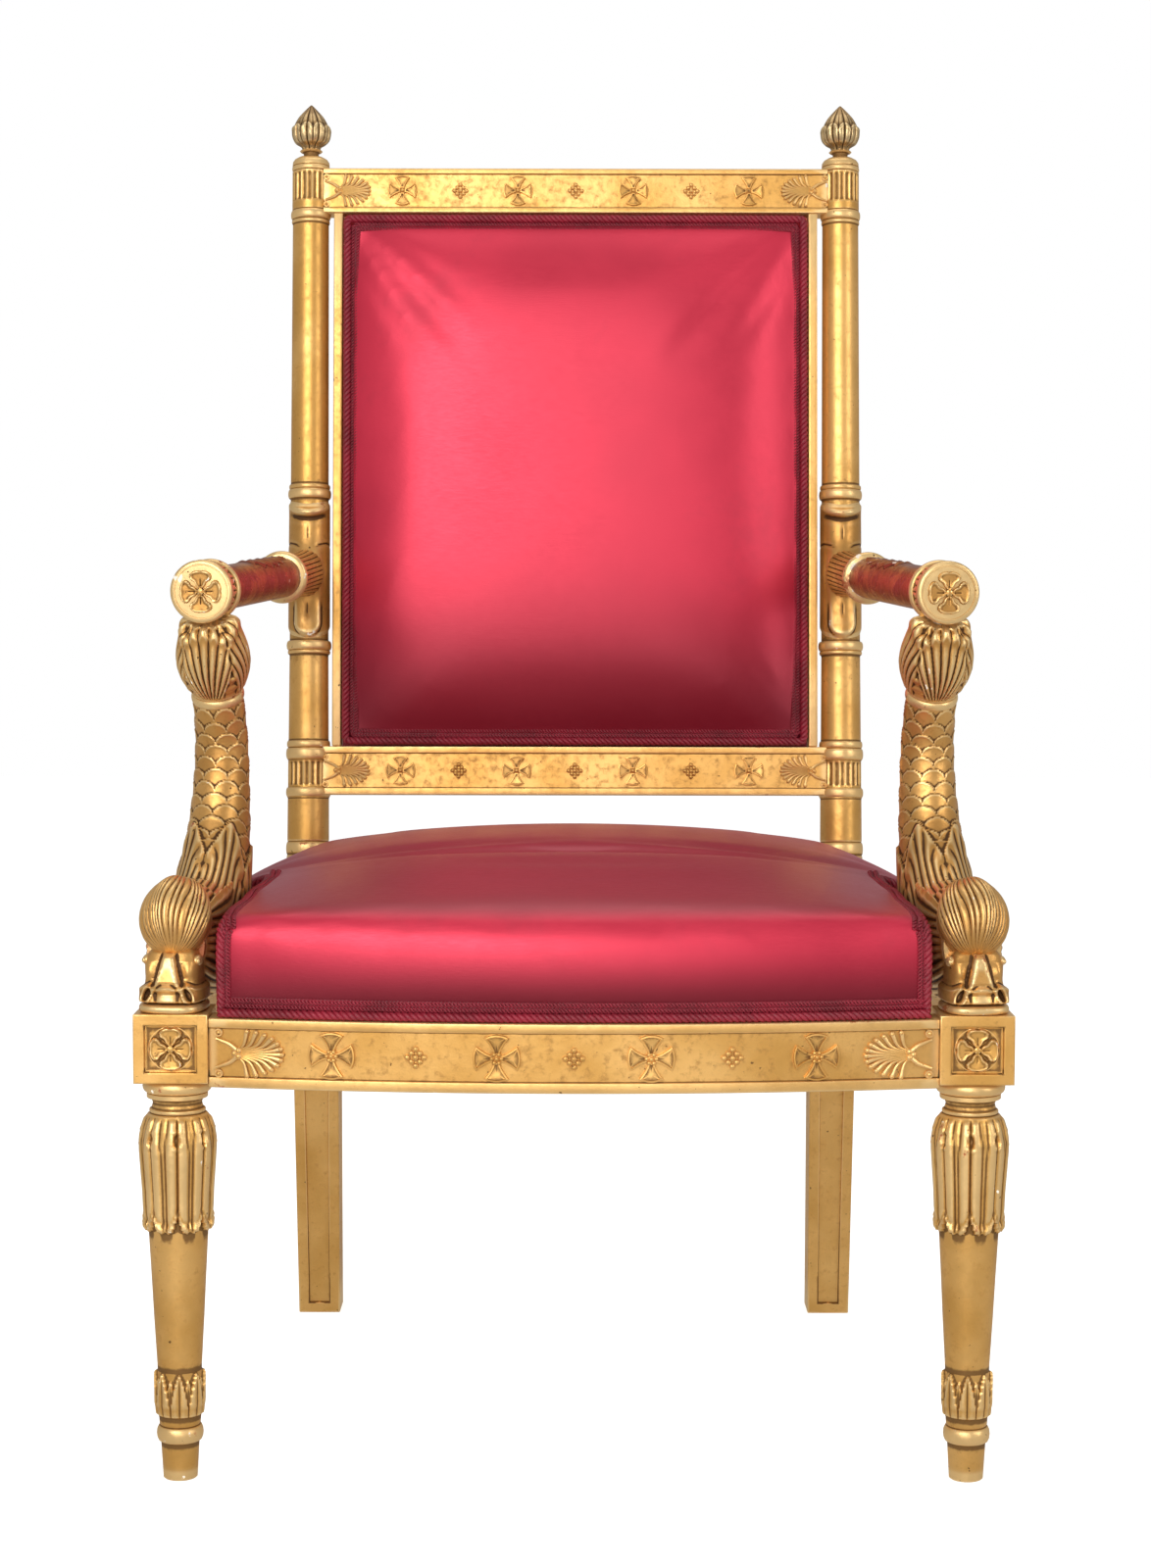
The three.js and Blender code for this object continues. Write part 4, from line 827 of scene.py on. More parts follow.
# The muzzle: a bright ridge between two cheeks over a broad lip with slanting nostrils
def makeMuzzle():
    z = np.linspace(357.5, 405, 96)[:, None]
    angle = np.linspace(0, 2 * math.pi, 150, endpoint=False)[None, :]
    across = np.sign(np.cos(angle)) * np.abs(np.cos(angle)) ** 0.6
    through = np.sign(np.sin(angle)) * np.abs(np.sin(angle)) ** 0.6
    lipTop = 376.8 + 1.3 * np.cos(across * 3 * math.pi)
    lip = smoothStep(lipTop + 1.2, lipTop - 2.2, z) * smoothStep(362.6, 365.4, z)
    width = np.interp(z, [357, 376, 380, 392, 399, 405], [21, 21, 20.5, 21, 18.5, 14])
    x = (width + 3.6 * lip) * across
    front = np.interp(z, [357, 376, 382, 394, 400, 405], [-20, -19, -16.5, -16, -13, -8])
    y = np.where(through < 0, -front * through, 26 * through * smoothStep(410, 398, z) + 0 * through)
    facing = smoothStep(-0.35, -0.8, through)
    ridgeHalf = np.interp(z, [376, 398], [10, 4.2])
    ridge = smoothStep(ridgeHalf + 1.4, ridgeHalf - 1.6, np.abs(x)) * smoothStep(402, 397, z)
    push = ridge * (np.interp(z, [372, 380, 398], [24.5, 25.5, 20.5]) + front) * smoothStep(370, 377, z)
    push += 3.2 * hump(np.abs(x), 15.5, 4.6) * hump(z, 386.5, 6.5)
    push += 6.2 * lip * (1 - 0.25 * hump(z, 371, 3)) + 1.5 * lip * hump(x, 0, 6) + 1.0 * lip * hump(np.abs(x), 17, 6)
    side, up = np.abs(x) - 15.6, z - 370
    slot = np.sqrt(((0.9 * side + 0.42 * up) / 2.5) ** 2 + ((0.9 * up - 0.42 * side) / 6.2) ** 2)
    push += -5.0 * (1 - smoothStep(0.55, 1.1, slot)) + 1.3 * hump(slot, 1.45, 0.3)
    push -= 1.0 * hump(np.abs(x), 8.3, 1.1) * lip
    return shell("muzzle", np.stack([x, y - push * facing, z + 0 * angle], -1), dolphinSpace)


def makeHead():
    angle = np.linspace(0, 2 * math.pi, 72, endpoint=False)
    square = np.stack([np.sign(np.cos(angle)) * np.abs(np.cos(angle)) ** 0.66,
                       np.sign(np.sin(angle)) * np.abs(np.sin(angle)) ** 0.66], -1)
    plate = [(356.4, 22.5, 25), (357, 24, 26.4), (358.4, 24.7, 27.2), (360.4, 24.6, 27.2), (361.8, 23.8, 26.2),
             (362.6, 21.5, 23)]
    lowerLip = [[(w * a, d * b - 0.5 * d / 27, z) for a, b in square] for z, w, d in plate]
    parts = [makeCrown(), makeMuzzle(), shell("lower lip", lowerLip, dolphinSpace)]
    for side in (1, -1):
        parts.append(ball("eye socket", (side * 18.6, -5, 394), (4.2, 6.2, 4.2), dolphinSpace))
        parts.append(ball("eye", (side * 20.4, -9, 394), (2, 2.5, 2.2), dolphinSpace))
    return parts


# Side fins, pressed against the body
def makeFin(side):
    rows, sides = 70, 44
    v = np.linspace(0, 1, rows)[:, None]
    angle = np.linspace(0, 2 * math.pi, sides, endpoint=False)[None, :]
    middle = curved([(side * 21, 18, 424), (side * 24.6, 44, 426), (side * 24.4, 70, 429), (side * 21.5, 96, 438)], rows)
    path, tangent, across, other = alongPath(middle, (0, 0, 1))
    tall = (15 * np.sin(math.pi * (0.1 + 0.88 * v)) ** 0.6 + 1.4 * np.cos(v * 34) * v)
    thick = 3.4 * np.sin(math.pi * (0.08 + 0.9 * v)) ** 0.5
    ribs = 0.6 * np.cos(8 * np.cos(angle) * (1.4 - v * 0.5)) * (np.abs(np.sin(angle)) > 0.1)
    ring = path[:, None] + (tall * np.cos(angle))[..., None] * across[:, None]
    ring = ring + ((thick + ribs) * np.sin(angle))[..., None] * other[:, None]
    return shell("fin", ring, dolphinSpace)


def carveCup(angle, z, r):
    high = 66.0
    v = np.clip(z / high, 0, 1)
    u = aroundEach(angle + math.pi / 2, dolphin["cupLeaves"])
    x = u * 2 * math.pi * r / dolphin["cupLeaves"]
    half = (math.pi * r / dolphin["cupLeaves"]) * (0.62 + 0.42 * smoothStep(0, 0.5, v))
    w = np.abs(x) / half
    leaf = smoothStep(1.03, 0.94, w)
    fan = np.arctan2(x * (1 + 0.25 * v), z + 9)
    ribs = np.abs(np.cos(22 * fan)) ** 0.8
    tip = 0.93 - 0.16 * w ** 2 + 0.025 * np.cos(44 * fan)
    lift = leaf * (1.4 + 2.3 * (ribs - 0.5) * smoothStep(0, 0.08, v) * smoothStep(1.0, 0.85, w))
    lift += 1.8 * leaf * hump(v, tip - 0.05, 0.06) - 2.8 * leaf * smoothStep(tip, tip + 0.05, v)
    seam = np.abs(np.abs(u) - 0.5) * 2 * math.pi * r / dolphin["cupLeaves"]
    eyes = hump(seam, 0, 1.6) * (hump(v, 0.36, 0.045) + hump(v, 0.56, 0.045) + hump(v, 0.74, 0.04))
    between = (1 - leaf) * (0.4 + 0.7 * np.cos(v * 46))
    return r + lift + between - 2.8 * eyes


def makeCup():
    (baseY, baseZ), (topY, topZ) = dolphin["cupBase"], dolphin["cupTop"]
    tilt = math.atan2(baseY - topY, topZ - baseZ)
    space = dolphinSpace @ Matrix.Translation((0, baseY, baseZ)) @ Matrix.Rotation(tilt, 4, "X")
    collar = [(-8.5, 17.5)] + bead(-8, -0.8, 19.2, 1.7, 9) + [(0, 17)]
    body = curved([(0, 18.4), (6, 21), (14, 24.2), (24, 26.4), (34, 26.2), (44, 24.2), (54, 21.2), (63, 17.5)], 84)
    return [turned("collar", collar, 72, space), turned("cup", body, 184, space, carveCup)]


def makeDolphin():
    parts = [makeDolphinBody()] + makeHead() + [makeFin(1), makeFin(-1)] + makeCup()
    return markHollows(joined("dolphin_carved_right", parts), 7, 0.45)


rightDolphin = makeDolphin()
leftDolphin = mirroredCopy(rightDolphin, "dolphin_carved_left")
dress(rightDolphin, agedGilding, ["dolphin_right"], 60)
dress(leftDolphin, agedGilding, ["dolphin_left"], 60)
print("dolphins carved")

# Rails: a sunk field between two rounded edges

rail = {"thick": 32, "sunk": 2.5, "topEdge": 7.3, "lowEdge": 8, "bow": 26, "endY": -24, "halfLength": 270}
bowRadius = (rail["halfLength"] ** 2 + rail["bow"] ** 2) / (2 * rail["bow"])


def bowedY(x, inset=0.0):
    return rail["endY"] - rail["bow"] + bowRadius - np.sqrt((bowRadius - inset) ** 2 - x ** 2)


# Outline of a rail's section as (depth behind the face, height)
def railSection(low, high, lowEdge, topEdge, sunk, thick):
    def softEdge(a, b):
        corner = 1.6
        return [(sunk, a), (0.9, a), (0.25, a + 0.5), (0, a + corner), (0, b - corner), (0.25, b - 0.5), (0.9, b)]

    field = [(sunk, low + lowEdge), (sunk, low + lowEdge + 0.8), (sunk, high - topEdge - 0.8), (sunk, high - topEdge)]
    section = softEdge(low, low + lowEdge)[1:] + field + softEdge(high - topEdge, high)[1:]
    return section + [(thick - 0.8, high), (thick, high - 0.8), (thick, low + 0.8), (thick - 0.8, low)]


def sweptRail(name, section, stations, space):
    rings = [[station(depth, z) for depth, z in section] for station in stations]
    return markHollows(shell(name, rings, space), 3, 0.6)


section = railSection(chair["railLow"] - 0.5, chair["railTop"], rail["lowEdge"], rail["topEdge"], rail["sunk"], 30)
frontStations = [
    lambda depth, z, x=x: (x, float(bowedY(x, depth)), z)
    for x in np.linspace(-rail["halfLength"], rail["halfLength"], 73)
]
frontRail = sweptRail("seat_rail_front_moulded", section, frontStations, chairSpace)
dress(frontRail, gilding, ["seat_rail_front"])

sideFront, sideRear = (322.5, 27.9), (253.2, 448.6)
sideStations = [
    lambda depth, z, t=t: (sideFront[0] + (sideRear[0] - sideFront[0]) * t - depth,
                           sideFront[1] + (sideRear[1] - sideFront[1]) * t, z)
    for t in np.linspace(0, 1, 41)
]
rightRail = sweptRail("seat_rail_side_moulded_right", section, sideStations, chairSpace)
leftRail = mirroredCopy(rightRail, "seat_rail_side_moulded_left")
dress(rightRail, gilding, ["seat_rail_side_right"])
dress(leftRail, gilding, ["seat_rail_side_left"])

rearRail = addBox("seat_rail_rear_plain", (-212, 455, 302), (212, 483, 353), chairSpace)
bevelled(rearRail, 1.2)
dress(markHollows(rearRail, 2), gilding, ["seat_rail_rear"])

backRails = {"top": (658.8, 699.2, 5, 5, 229), "bottom": (129.5, 173.2, 6.2, 6.2, 227.5)}
for where, (low, high, lowEdge, topEdge, half) in backRails.items():
    section = railSection(low, high, lowEdge, topEdge, 2.2, 25)
    stations = [lambda depth, z, x=x: (x, depth - 12.5, z) for x in np.linspace(-half, half, 61)]
    piece = sweptRail(f"back_rail_{where}_moulded", section, stations, backSpace)
    dress(piece, gilding, [f"back_rail_{where}"])

strip = addBox("back_frame_strip_right", (211.5, -12, 173.5), (219.5, 12, 658.5), backSpace)
bevelled(strip, 0.8)
applied(strip, "SUBSURF", subdivision_type="SIMPLE", levels=2, render_levels=2)
leftStrip = mirroredCopy(markHollows(strip, 3), "back_frame_strip_left")
dress(strip, gilding, ["back_frame_right"])
dress(leftStrip, gilding, ["back_frame_left"])
print("rails moulded")

# Applied ornaments; each is modelled once, looking along +Z, and copied to its places

# A loop of points moved inwards by a distance
def insetLoop(loop, inset):
    before, after = np.roll(loop, 1, 0), np.roll(loop, -1, 0)
    first, second = (side / np.linalg.norm(side, axis=1)[:, None] for side in (loop - before, after - loop))
    first, second = (np.stack([-side[:, 1], side[:, 0]], -1) for side in (first, second))
    return loop + inset * (first + second) / (1 + (first * second).sum(1))[:, None]


# One flared arm with a sunk middle
def crossArm(radius, space):
    half = math.radians(31)
    t = np.linspace(0, 1, 8)
    x = radius * (0.16 + (math.cos(half) - 0.16) * t)
    y = radius * (0.13 + (math.sin(half) - 0.13) * t ** 1.5)
    end = np.linspace(-half, half, 11)[1:-1]
    loop = np.concatenate([np.stack([x, -y], -1), radius * np.stack([np.cos(end), np.sin(end)], -1),
                           np.stack([x, y], -1)[::-1]])
    steps = [(0, -0.8, 0), (0, 2.0, 0.5), (0.25, 2.5, 0.6), (radius * 0.075, 2.5, 0.8), (radius * 0.1, 1.0, 1.5)]
    rings = []
    for inset, z, lean in steps:
        inner = insetLoop(loop, inset)
        rings.append(np.column_stack([inner, z + lean * inner[:, 0] / radius]))
    return shell("arm", rings, space)


def makeCross(name, radius, beads):
    space = Matrix.Scale(mm, 4)
    parts = [crossArm(radius, Matrix.Rotation(math.pi / 2 * i, 4, "Z") @ space) for i in range(4)]
    parts.append(ball("middle", (0, 0, 0.6), (radius * 0.24, radius * 0.24, 2.4), space, 20, 8))
    if beads:
        for i in range(6):
            turn = math.pi / 3 * i
            where = (radius * 0.2 * math.cos(turn), radius * 0.2 * math.sin(turn), 2.3)
            parts.append(ball("bead", where, (radius * 0.1, radius * 0.1, 1.6), space, 10, 7))
        parts.append(ball("bead", (0, 0, 2.9), (radius * 0.1, radius * 0.1, 1.7), space, 10, 7))
    else:
        parts.append(ball("boss", (0, 0, 2.4), (radius * 0.15, radius * 0.15, 1.9), space, 14, 8))
    return markHollows(joined(name, parts), 1, 0.9)


def makeFlower(name, radius):
    space = Matrix.Scale(mm, 4)
    parts = []
    for i in (-1, 0, 1):
        for j in (-1, 0, 1):
            where = ((i + j) * radius * 0.37, (i - j) * radius * 0.37, 1.0 if i or j else 1.9)
            parts.append(ball("bead", where, (radius * 0.27, radius * 0.27, 2), space, 14, 8))
    return markHollows(joined(name, parts), 3, 0.5)


# Thirteen leaves with rounded tips fan towards +X, from two curled stems that start at x = 0
def makePalmette(name, length, height):
    space = Matrix.Scale(mm, 4)
    half = height / 2
    heart = length * 0.34
    parts = []
    for i in range(-6, 7):
        turn = math.radians(14.6 * i)
        tip = (length * (0.45 + 0.515 * math.cos(turn)), half * 0.93 * math.sin(turn))
        bend = (heart + (tip[0] - heart) * 0.66, tip[1] * 0.42)
        path = curved([(heart - 1, tip[1] * 0.12, 1.2), (*bend, 1.8), (*tip, 1.7)], 14)
        parts.append(tube("leaf", path, np.linspace(0.5, length * 0.034, 14), space, 8, 0.95))
        parts.append(ball("tip", (*tip, 1.6), (length * 0.037, length * 0.037, length * 0.04), space, 10, 6))
    for side in (1, -1):
        stem = curved([(heart + 1, side * 1.2, 1.6), (length * 0.24, side * half * 0.36, 1.7),
                       (length * 0.13, side * half * 0.5, 1.6), (length * 0.035, side * half * 0.6, 1.5)], 16)
        parts.append(tube("stem", stem, np.linspace(length * 0.034, length * 0.02, 16), space, 8))
        curl = (length * 0.07, side * half * 0.86, 1.2)
        parts.append(ball("curl", curl, (length * 0.04, length * 0.04, 2.4), space, 12, 7))
        turn = np.linspace(0, 2 * math.pi, 21)[:-1]
        loop = np.stack([curl[0] + length * 0.046 * np.cos(turn), curl[1] + length * 0.046 * np.sin(turn),
                         1.2 + 0 * turn], -1)
        parts.append(closedTube("curl ring", loop, length * 0.016, space, 6))
    for x, y in ((heart - 2.4, 0), (heart + 0.6, length * 0.04), (heart + 0.6, -length * 0.04)):
        parts.append(ball("heart", (x, y, 1.4), (length * 0.05, length * 0.05, 2.6), space, 12, 7))
    return markHollows(joined(name, parts), 3, 0.5)


facingFront = Matrix.Rotation(math.pi / 2, 4, "X")


# A copy of an ornament, its own mesh moved to its place in the chair
def setOrnament(model, name, space, x, y, z, turn, node):
    piece = bpy.data.objects.new(name, model.data.copy())
    piece.data.name = name
    bpy.context.collection.objects.link(piece)
    unit = Matrix.Scale(1 / mm, 4)
    piece.data.transform(space @ Matrix.Translation((x, y, z)) @ turn @ unit)
    dress(piece, gilding, [node], 40)


def bothSides(values):
    return values + [-x for x in reversed(values)]


ornaments = {
    "seat": {"cross": (17.5, [-178, -56.5]), "flower": (8.4, [-116, 0, 116]), "palmette": (54, 35.5, 266.5)},
    "top": {"cross": (13.4, [-157.5, -52.5]), "flower": (7.4, [-105, 0, 105]), "palmette": (43.5, 29, 229.5)},
    "low": {"cross": (13.4, [-157.5, -52.5]), "flower": (7.4, [-105, 0, 105]), "palmette": (43.5, 29, 228.5)},
}
models = []
for where, sizes in ornaments.items():
    seat = where == "seat"
    crossModel = makeCross("cross", sizes["cross"][0], seat)
    flowerModel = makeFlower("flower", sizes["flower"][0])
    length, height, endX = sizes["palmette"]
    palmetteModel = makePalmette("palmette", length, height)
    models += [crossModel, flowerModel, palmetteModel]
    space = chairSpace if seat else backSpace
    z = {"seat": 327.3, "top": 679, "low": 151.3}[where]

    def place(model, name, node, x, flip=False):
        y = float(bowedY(x, rail["sunk"])) if seat else -10.3
        lean = Matrix.Rotation(math.asin(x / bowRadius) if seat else 0, 4, "Z")
        turn = lean @ facingFront @ Matrix.Rotation(math.pi if flip else 0, 4, "Z")
        setOrnament(model, name, space, x, y, z, turn, node)

    for i, x in enumerate(bothSides(sizes["cross"][1])):
        place(crossModel, f"{where}_rail_cross_{i + 1}", f"{where}_cross_{i + 1}", x)
    for i, x in enumerate(sizes["flower"][1]):
        place(flowerModel, f"{where}_rail_flower_{i + 1}", f"{where}_flower_{i + 1}", x)
    for side, label in ((1, "right"), (-1, "left")):
        middle = length / 2 if seat else 0
        palmetteModel.data.transform(Matrix.Translation((-middle * mm, 0, 0)))
        place(palmetteModel, f"{where}_rail_palmette_{label}", f"{where}_palmette_{label}",
              side * (endX - middle), side > 0)
        palmetteModel.data.transform(Matrix.Translation((middle * mm, 0, 0)))
for model in models:
    bpy.data.objects.remove(model)
print("ornaments set")

# Satin, trimming and linen

def satinFinish(name, grain, paintedLowShade, wearAndPaintedReflection=None):
    material = bpy.data.materials.new(name)
    tree, add = nodeTools(material)
    shader = tree.nodes["Principled BSDF"]
    place = add("ShaderNodeTexCoord").outputs["Object"]
    broad = noise(add, place, 4.5, 3.0)
    soiled = noise(add, place, 9.0, 5.0, 0.6)
    colour = blendColour(add, ramp(add, broad, 0.35, 0.68), (0.5, 0.02, 0.05), (0.62, 0.028, 0.065))
    colour = blendColour(add, ramp(add, soiled, 0.56, 0.72, 0.0, 0.3), colour, (0.34, 0.022, 0.045))
    height = add("ShaderNodeSeparateXYZ", {0: place}).outputs[2]
    # painted shade: the satin darkens to a deep red below the given heights, towards the bottom of each pad
    colour = blendColour(add, ramp(add, height, *paintedLowShade), colour, (0.17, 0.003, 0.013))
    # painted reflection: above the crease the seat's top turns a duller, greyer red for its grazing sheen
    if wearAndPaintedReflection:
        colour = blendColour(add, ramp(add, height, *wearAndPaintedReflection), colour, (0.3, 0.05, 0.065))
    tree.links.new(colour, shader.inputs["Base Color"])
    shader.inputs["Metallic"].default_value = 0.5
    shader.inputs["Specular IOR Level"].default_value = 0.6
    shader.inputs["Sheen Weight"].default_value = 0.15
    shader.inputs["Sheen Roughness"].default_value = 0.4
    shader.inputs["Sheen Tint"].default_value = (1.0, 0.3, 0.42, 1)
    fine = noise(add, place, 900.0, 2.0, 0.6, grain)
    rough = ramp(add, calc(add, "ADD", calc(add, "MULTIPLY", fine, 0.5), calc(add, "MULTIPLY", soiled, 0.5)), 0.35, 0.7,
                 0.36, 0.47)
    tree.links.new(rough, shader.inputs["Roughness"])
    bump = add("ShaderNodeBump", {"Height": fine, "Strength": 0.16, "Distance": 0.0004})
    tree.links.new(bump.outputs[0], shader.inputs["Normal"])
    return material


def plainCloth(name, first, second, scale, rough, sheen):
    material = bpy.data.materials.new(name)
    tree, add = nodeTools(material)
    shader = tree.nodes["Principled BSDF"]
    place = add("ShaderNodeTexCoord").outputs["Object"]
    broad = noise(add, place, 30.0, 3.0)
    fine = noise(add, place, scale, 3.0, 0.6)
    colour = blendColour(add, ramp(add, calc(add, "MULTIPLY", calc(add, "ADD", broad, fine), 0.5), 0.35, 0.65),
                         first, second)
    tree.links.new(colour, shader.inputs["Base Color"])
    tree.links.new(ramp(add, fine, 0.3, 0.7, rough - 0.08, rough + 0.08), shader.inputs["Roughness"])
    shader.inputs["Sheen Weight"].default_value = sheen
    bump = add("ShaderNodeBump", {"Height": fine, "Strength": 0.5, "Distance": 0.0004})
    tree.links.new(bump.outputs[0], shader.inputs["Normal"])
    return material


# painted shade on the seat's lower front and on the lower part of the back; the seat's top gets a painted reflection
seatSatin = satinFinish("seatSatin", (0.12, 1.0, 1.0), (0.366, 0.416, 1.0, 0.0), (0.424, 0.436, 0.0, 0.85))
backSatin = satinFinish("backSatin", (0.12, 1.0, 1.0), (0.54, 0.7, 0.9, 0.0))
trimming = plainCloth("trimming", (0.13, 0.003, 0.01), (0.27, 0.007, 0.024), 900.0, 0.5, 0.0)
linen = plainCloth("linen", (0.4, 0.32, 0.2), (0.52, 0.43, 0.29), 500.0, 0.9, 0.1)
webbing = plainCloth("webbing", (0.3, 0.22, 0.12), (0.46, 0.36, 0.22), 700.0, 0.9, 0.1)


# Fills a stuffed piece with air for a moment, then holds each point near where it began
def puff(piece, settings, held):
    count = len(piece.data.vertices)
    before = np.empty(count * 3)
    piece.data.vertices.foreach_get("co", before)
    before = before.reshape(-1, 3)
    group = piece.vertex_groups.new(name="held")
    group.add([int(i) for i in np.nonzero(held(before))[0]], 1.0, "REPLACE")
    pick(piece)
    modifier = piece.modifiers.new("stuffing", "CLOTH")
    cloth = modifier.settings
    cloth.use_pressure = True
    cloth.uniform_pressure_force = settings["pressure"]
    cloth.effector_weights.gravity = 0
    cloth.vertex_group_mass = "held"
    cloth.quality = 4
    cloth.tension_stiffness = cloth.compression_stiffness = settings["stiff"]
    modifier.point_cache.frame_start, modifier.point_cache.frame_end = 1, 20
    for step in range(1, 21):
        bpy.context.scene.frame_set(step)
    bpy.ops.object.modifier_apply(modifier=modifier.name)
    bpy.context.scene.frame_set(1)
    after = np.empty(count * 3)
    piece.data.vertices.foreach_get("co", after)
    move = after.reshape(-1, 3) - before
    size = np.linalg.norm(move, axis=1)[:, None]
    most = settings["most"] * mm
    move *= most * np.tanh(size / most) / np.maximum(size, 1e-9)
    piece.data.vertices.foreach_set("co", (before + move).ravel())
    piece.vertex_groups.clear()
    piece.data.update()
    return piece


# Seat: upright sides, a soft crease along the front and a domed top, notched round the dolphins

seat = {
    "low": 353.1, "crease": 421, "dome": 42, "middleY": 215, "frontInset": 7.5, "notch": (264, 246.5, 173),
    "voxel": 6.5, "pressure": 4, "stiff": 12, "most": 5,
}


def seatOutline(count=320):
    notchX, notchBackX, notchY = seat["notch"]
    frontX = np.linspace(0, notchX - 2, 30)
    right = [(x, float(bowedY(x, seat["frontInset"]))) for x in frontX]
    right += [(notchX, float(bowedY(notchX, seat["frontInset"])) + 3), (notchBackX + 1, notchY - 3)]
    right += [(notchBackX + 4, notchY), (286, notchY + 3), (288.5, notchY + 6), (250.5, 438), (247, 441.5)]
    right += [(219, 444.5), (216.5, 447), (214.5, 474), (211, 478), (0, 479)]
    loop = np.array(right + [(-x, y) for x, y in reversed(right[1:-1])])
    closed = np.vstack([loop, loop[:1]])
    along = np.concatenate([[0], np.cumsum(np.linalg.norm(np.diff(closed, axis=0), axis=1))])
    want = np.linspace(0, along[-1], count, endpoint=False)
    return np.stack([np.interp(want, along, closed[:, i]) for i in range(2)], -1)


def seatHeight(x, y):
    across = np.clip(1 - (x / 300) ** 2, 0, 1)
    back = np.clip((y - seat["middleY"]) / 390, 0, 1)
    front = np.clip((seat["middleY"] - y) / 268, 0, 1)
    along = np.clip(1 - back ** 2 - front ** 1.9, 0, 1)
    return seat["crease"] + seat["dome"] * across ** 0.75 * along ** 0.72


def makeSeat():
    outline = seatOutline()
    centre = np.array([0, seat["middleY"]])
    rings = []
    for z, inset in [(seat["low"], 1), (seat["low"] + 1.5, 0.2), (375, 0), (395, 0), (410, 0.2), (416.5, 1.2), (420, 4)]:
        shrunk = outline - (outline - centre) / np.linalg.norm(outline - centre, axis=1)[:, None] * inset
        rings.append(np.column_stack([shrunk, np.full(len(outline), z)]))
    for share in (0.97, 0.94, 0.9, 0.84, 0.76, 0.66, 0.54, 0.4, 0.25, 0.1):
        shrunk = centre + (outline - centre) * share
        rings.append(np.column_stack([shrunk, seatHeight(shrunk[:, 0], shrunk[:, 1])]))
    piece = shell("seat_stuffed", rings, chairSpace)
    applied(piece, "REMESH", mode="VOXEL", voxel_size=seat["voxel"] * mm)
    # the lower edge and the notched corners stay where they are tacked
    puff(piece, seat, lambda p: (p[:, 2] < 0.362) | ((np.abs(p[:, 0]) > 0.234) & (p[:, 1] < frontLegY + 0.19)))
    applied(piece, "SMOOTH", factor=0.5, iterations=4)
    return applied(piece, "SUBSURF", levels=1, render_levels=1)


seatPad = makeSeat()
dress(seatPad, seatSatin, ["seat_stuffing"], 180)
print("seat stuffed")

# Back: crowned between the cords, its edges rolling over steeply

backPad = {"half": 210.8, "low": 174, "high": 656.6, "back": 5, "face": -11, "crown": 27, "border": 14.5,
           "voxel": 6, "pressure": 4, "stiff": 12, "most": 5}


def makeBack():
    half, low, high = backPad["half"], backPad["low"], backPad["high"]
    middle = (low + high) / 2
    tall = (high - low) / 2
    corner = np.linspace(0, 2 * math.pi, 240, endpoint=False) + math.pi / 240

    face, border = backPad["face"], backPad["border"]

    def ring(inset, depth, power):
        w, h = half - inset, tall - inset
        c, s = np.cos(corner), np.sin(corner)
        scale = (np.abs(c) ** power + np.abs(s) ** power) ** (-1 / power)
        return np.stack([w * c * scale, np.full(240, depth), middle + h * s * scale], -1)

    # the crown is nearly flat in the middle and falls away sooner towards the bottom
    def crowned(inset, power):
        loop = ring(border + inset, 0, power)
        u = np.abs(loop[:, 0]) / (half - border)
        v = (loop[:, 2] - middle) / (tall - border)
        v = np.abs(v) ** np.where(v < 0, 3.2, 5.5)
        loop[:, 1] = face - backPad["crown"] * (np.clip(1 - u ** 5.5, 0, 1) * np.clip(1 - v, 0, 1)) ** 0.55
        return loop

    rings = [ring(150, backPad["back"], 12), ring(4, backPad["back"], 60), ring(0.4, backPad["back"] - 2, 60),
             ring(0.4, face + 1.5, 60), ring(2, face, 60), ring(border, face, 60)]
    for inset in (0.3, 1, 2.5, 5, 9, 14, 21, 30, 42, 58, 78, 100, 125, 150, 172, 190):
        rings.append(crowned(inset, max(60 - inset, 3)))
    piece = shell("back_stuffed", rings, backSpace)
    applied(piece, "REMESH", mode="VOXEL", voxel_size=backPad["voxel"] * mm)
    inverse = np.array(backSpace.inverted())
    puff(piece, backPad, lambda p: (p @ inverse[:3, :3].T + inverse[:3, 3])[:, 1] > face - 2)
    applied(piece, "SMOOTH", factor=0.5, iterations=4)
    return applied(piece, "SUBSURF", levels=1, render_levels=1)


backPiece = makeBack()
dress(backPiece, backSatin, ["back_stuffing"], 180)
print("back stuffed")

# Cords and braids sewn down along the pads' edges

cord = {"radius": 3.4, "strand": 1.75, "pitch": 14.0, "step": 1.4, "sides": 7}
gimp = {"rows": (-2.15, 2.15), "swing": 1.5, "pitch": 5.4, "radius": 0.8, "step": 0.9, "sides": 5, "width": 8.6}


def evenly(points, step):
    points = np.asarray(points, float)
    along = np.concatenate([[0], np.cumsum(np.linalg.norm(np.diff(points, axis=0), axis=1))])
    want = np.linspace(0, along[-1], max(2, int(along[-1] / step)))
    return np.stack([np.interp(want, along, points[:, i]) for i in range(3)], -1), want


# Three strands wound round a route
def twistedCord(name, route, space, normal):
    path, along = evenly(route, cord["step"])
    smooth = path.copy()
    for _ in range(3):
        smooth[1:-1] = (smooth[:-2] + 2 * smooth[1:-1] + smooth[2:]) / 4
    path, tangent, across, other = alongPath(smooth, normal)
    strands = []
    for i in range(3):
        turn = (2 * math.pi * (along / cord["pitch"] + i / 3))[:, None]
        lay = path + (cord["radius"] - cord["strand"]) * 1.2 * (np.cos(turn) * across + np.sin(turn) * other)
        strands.append(tube("strand", lay, cord["strand"], space, cord["sides"], 1.0, normal))
    return joined(name, strands)


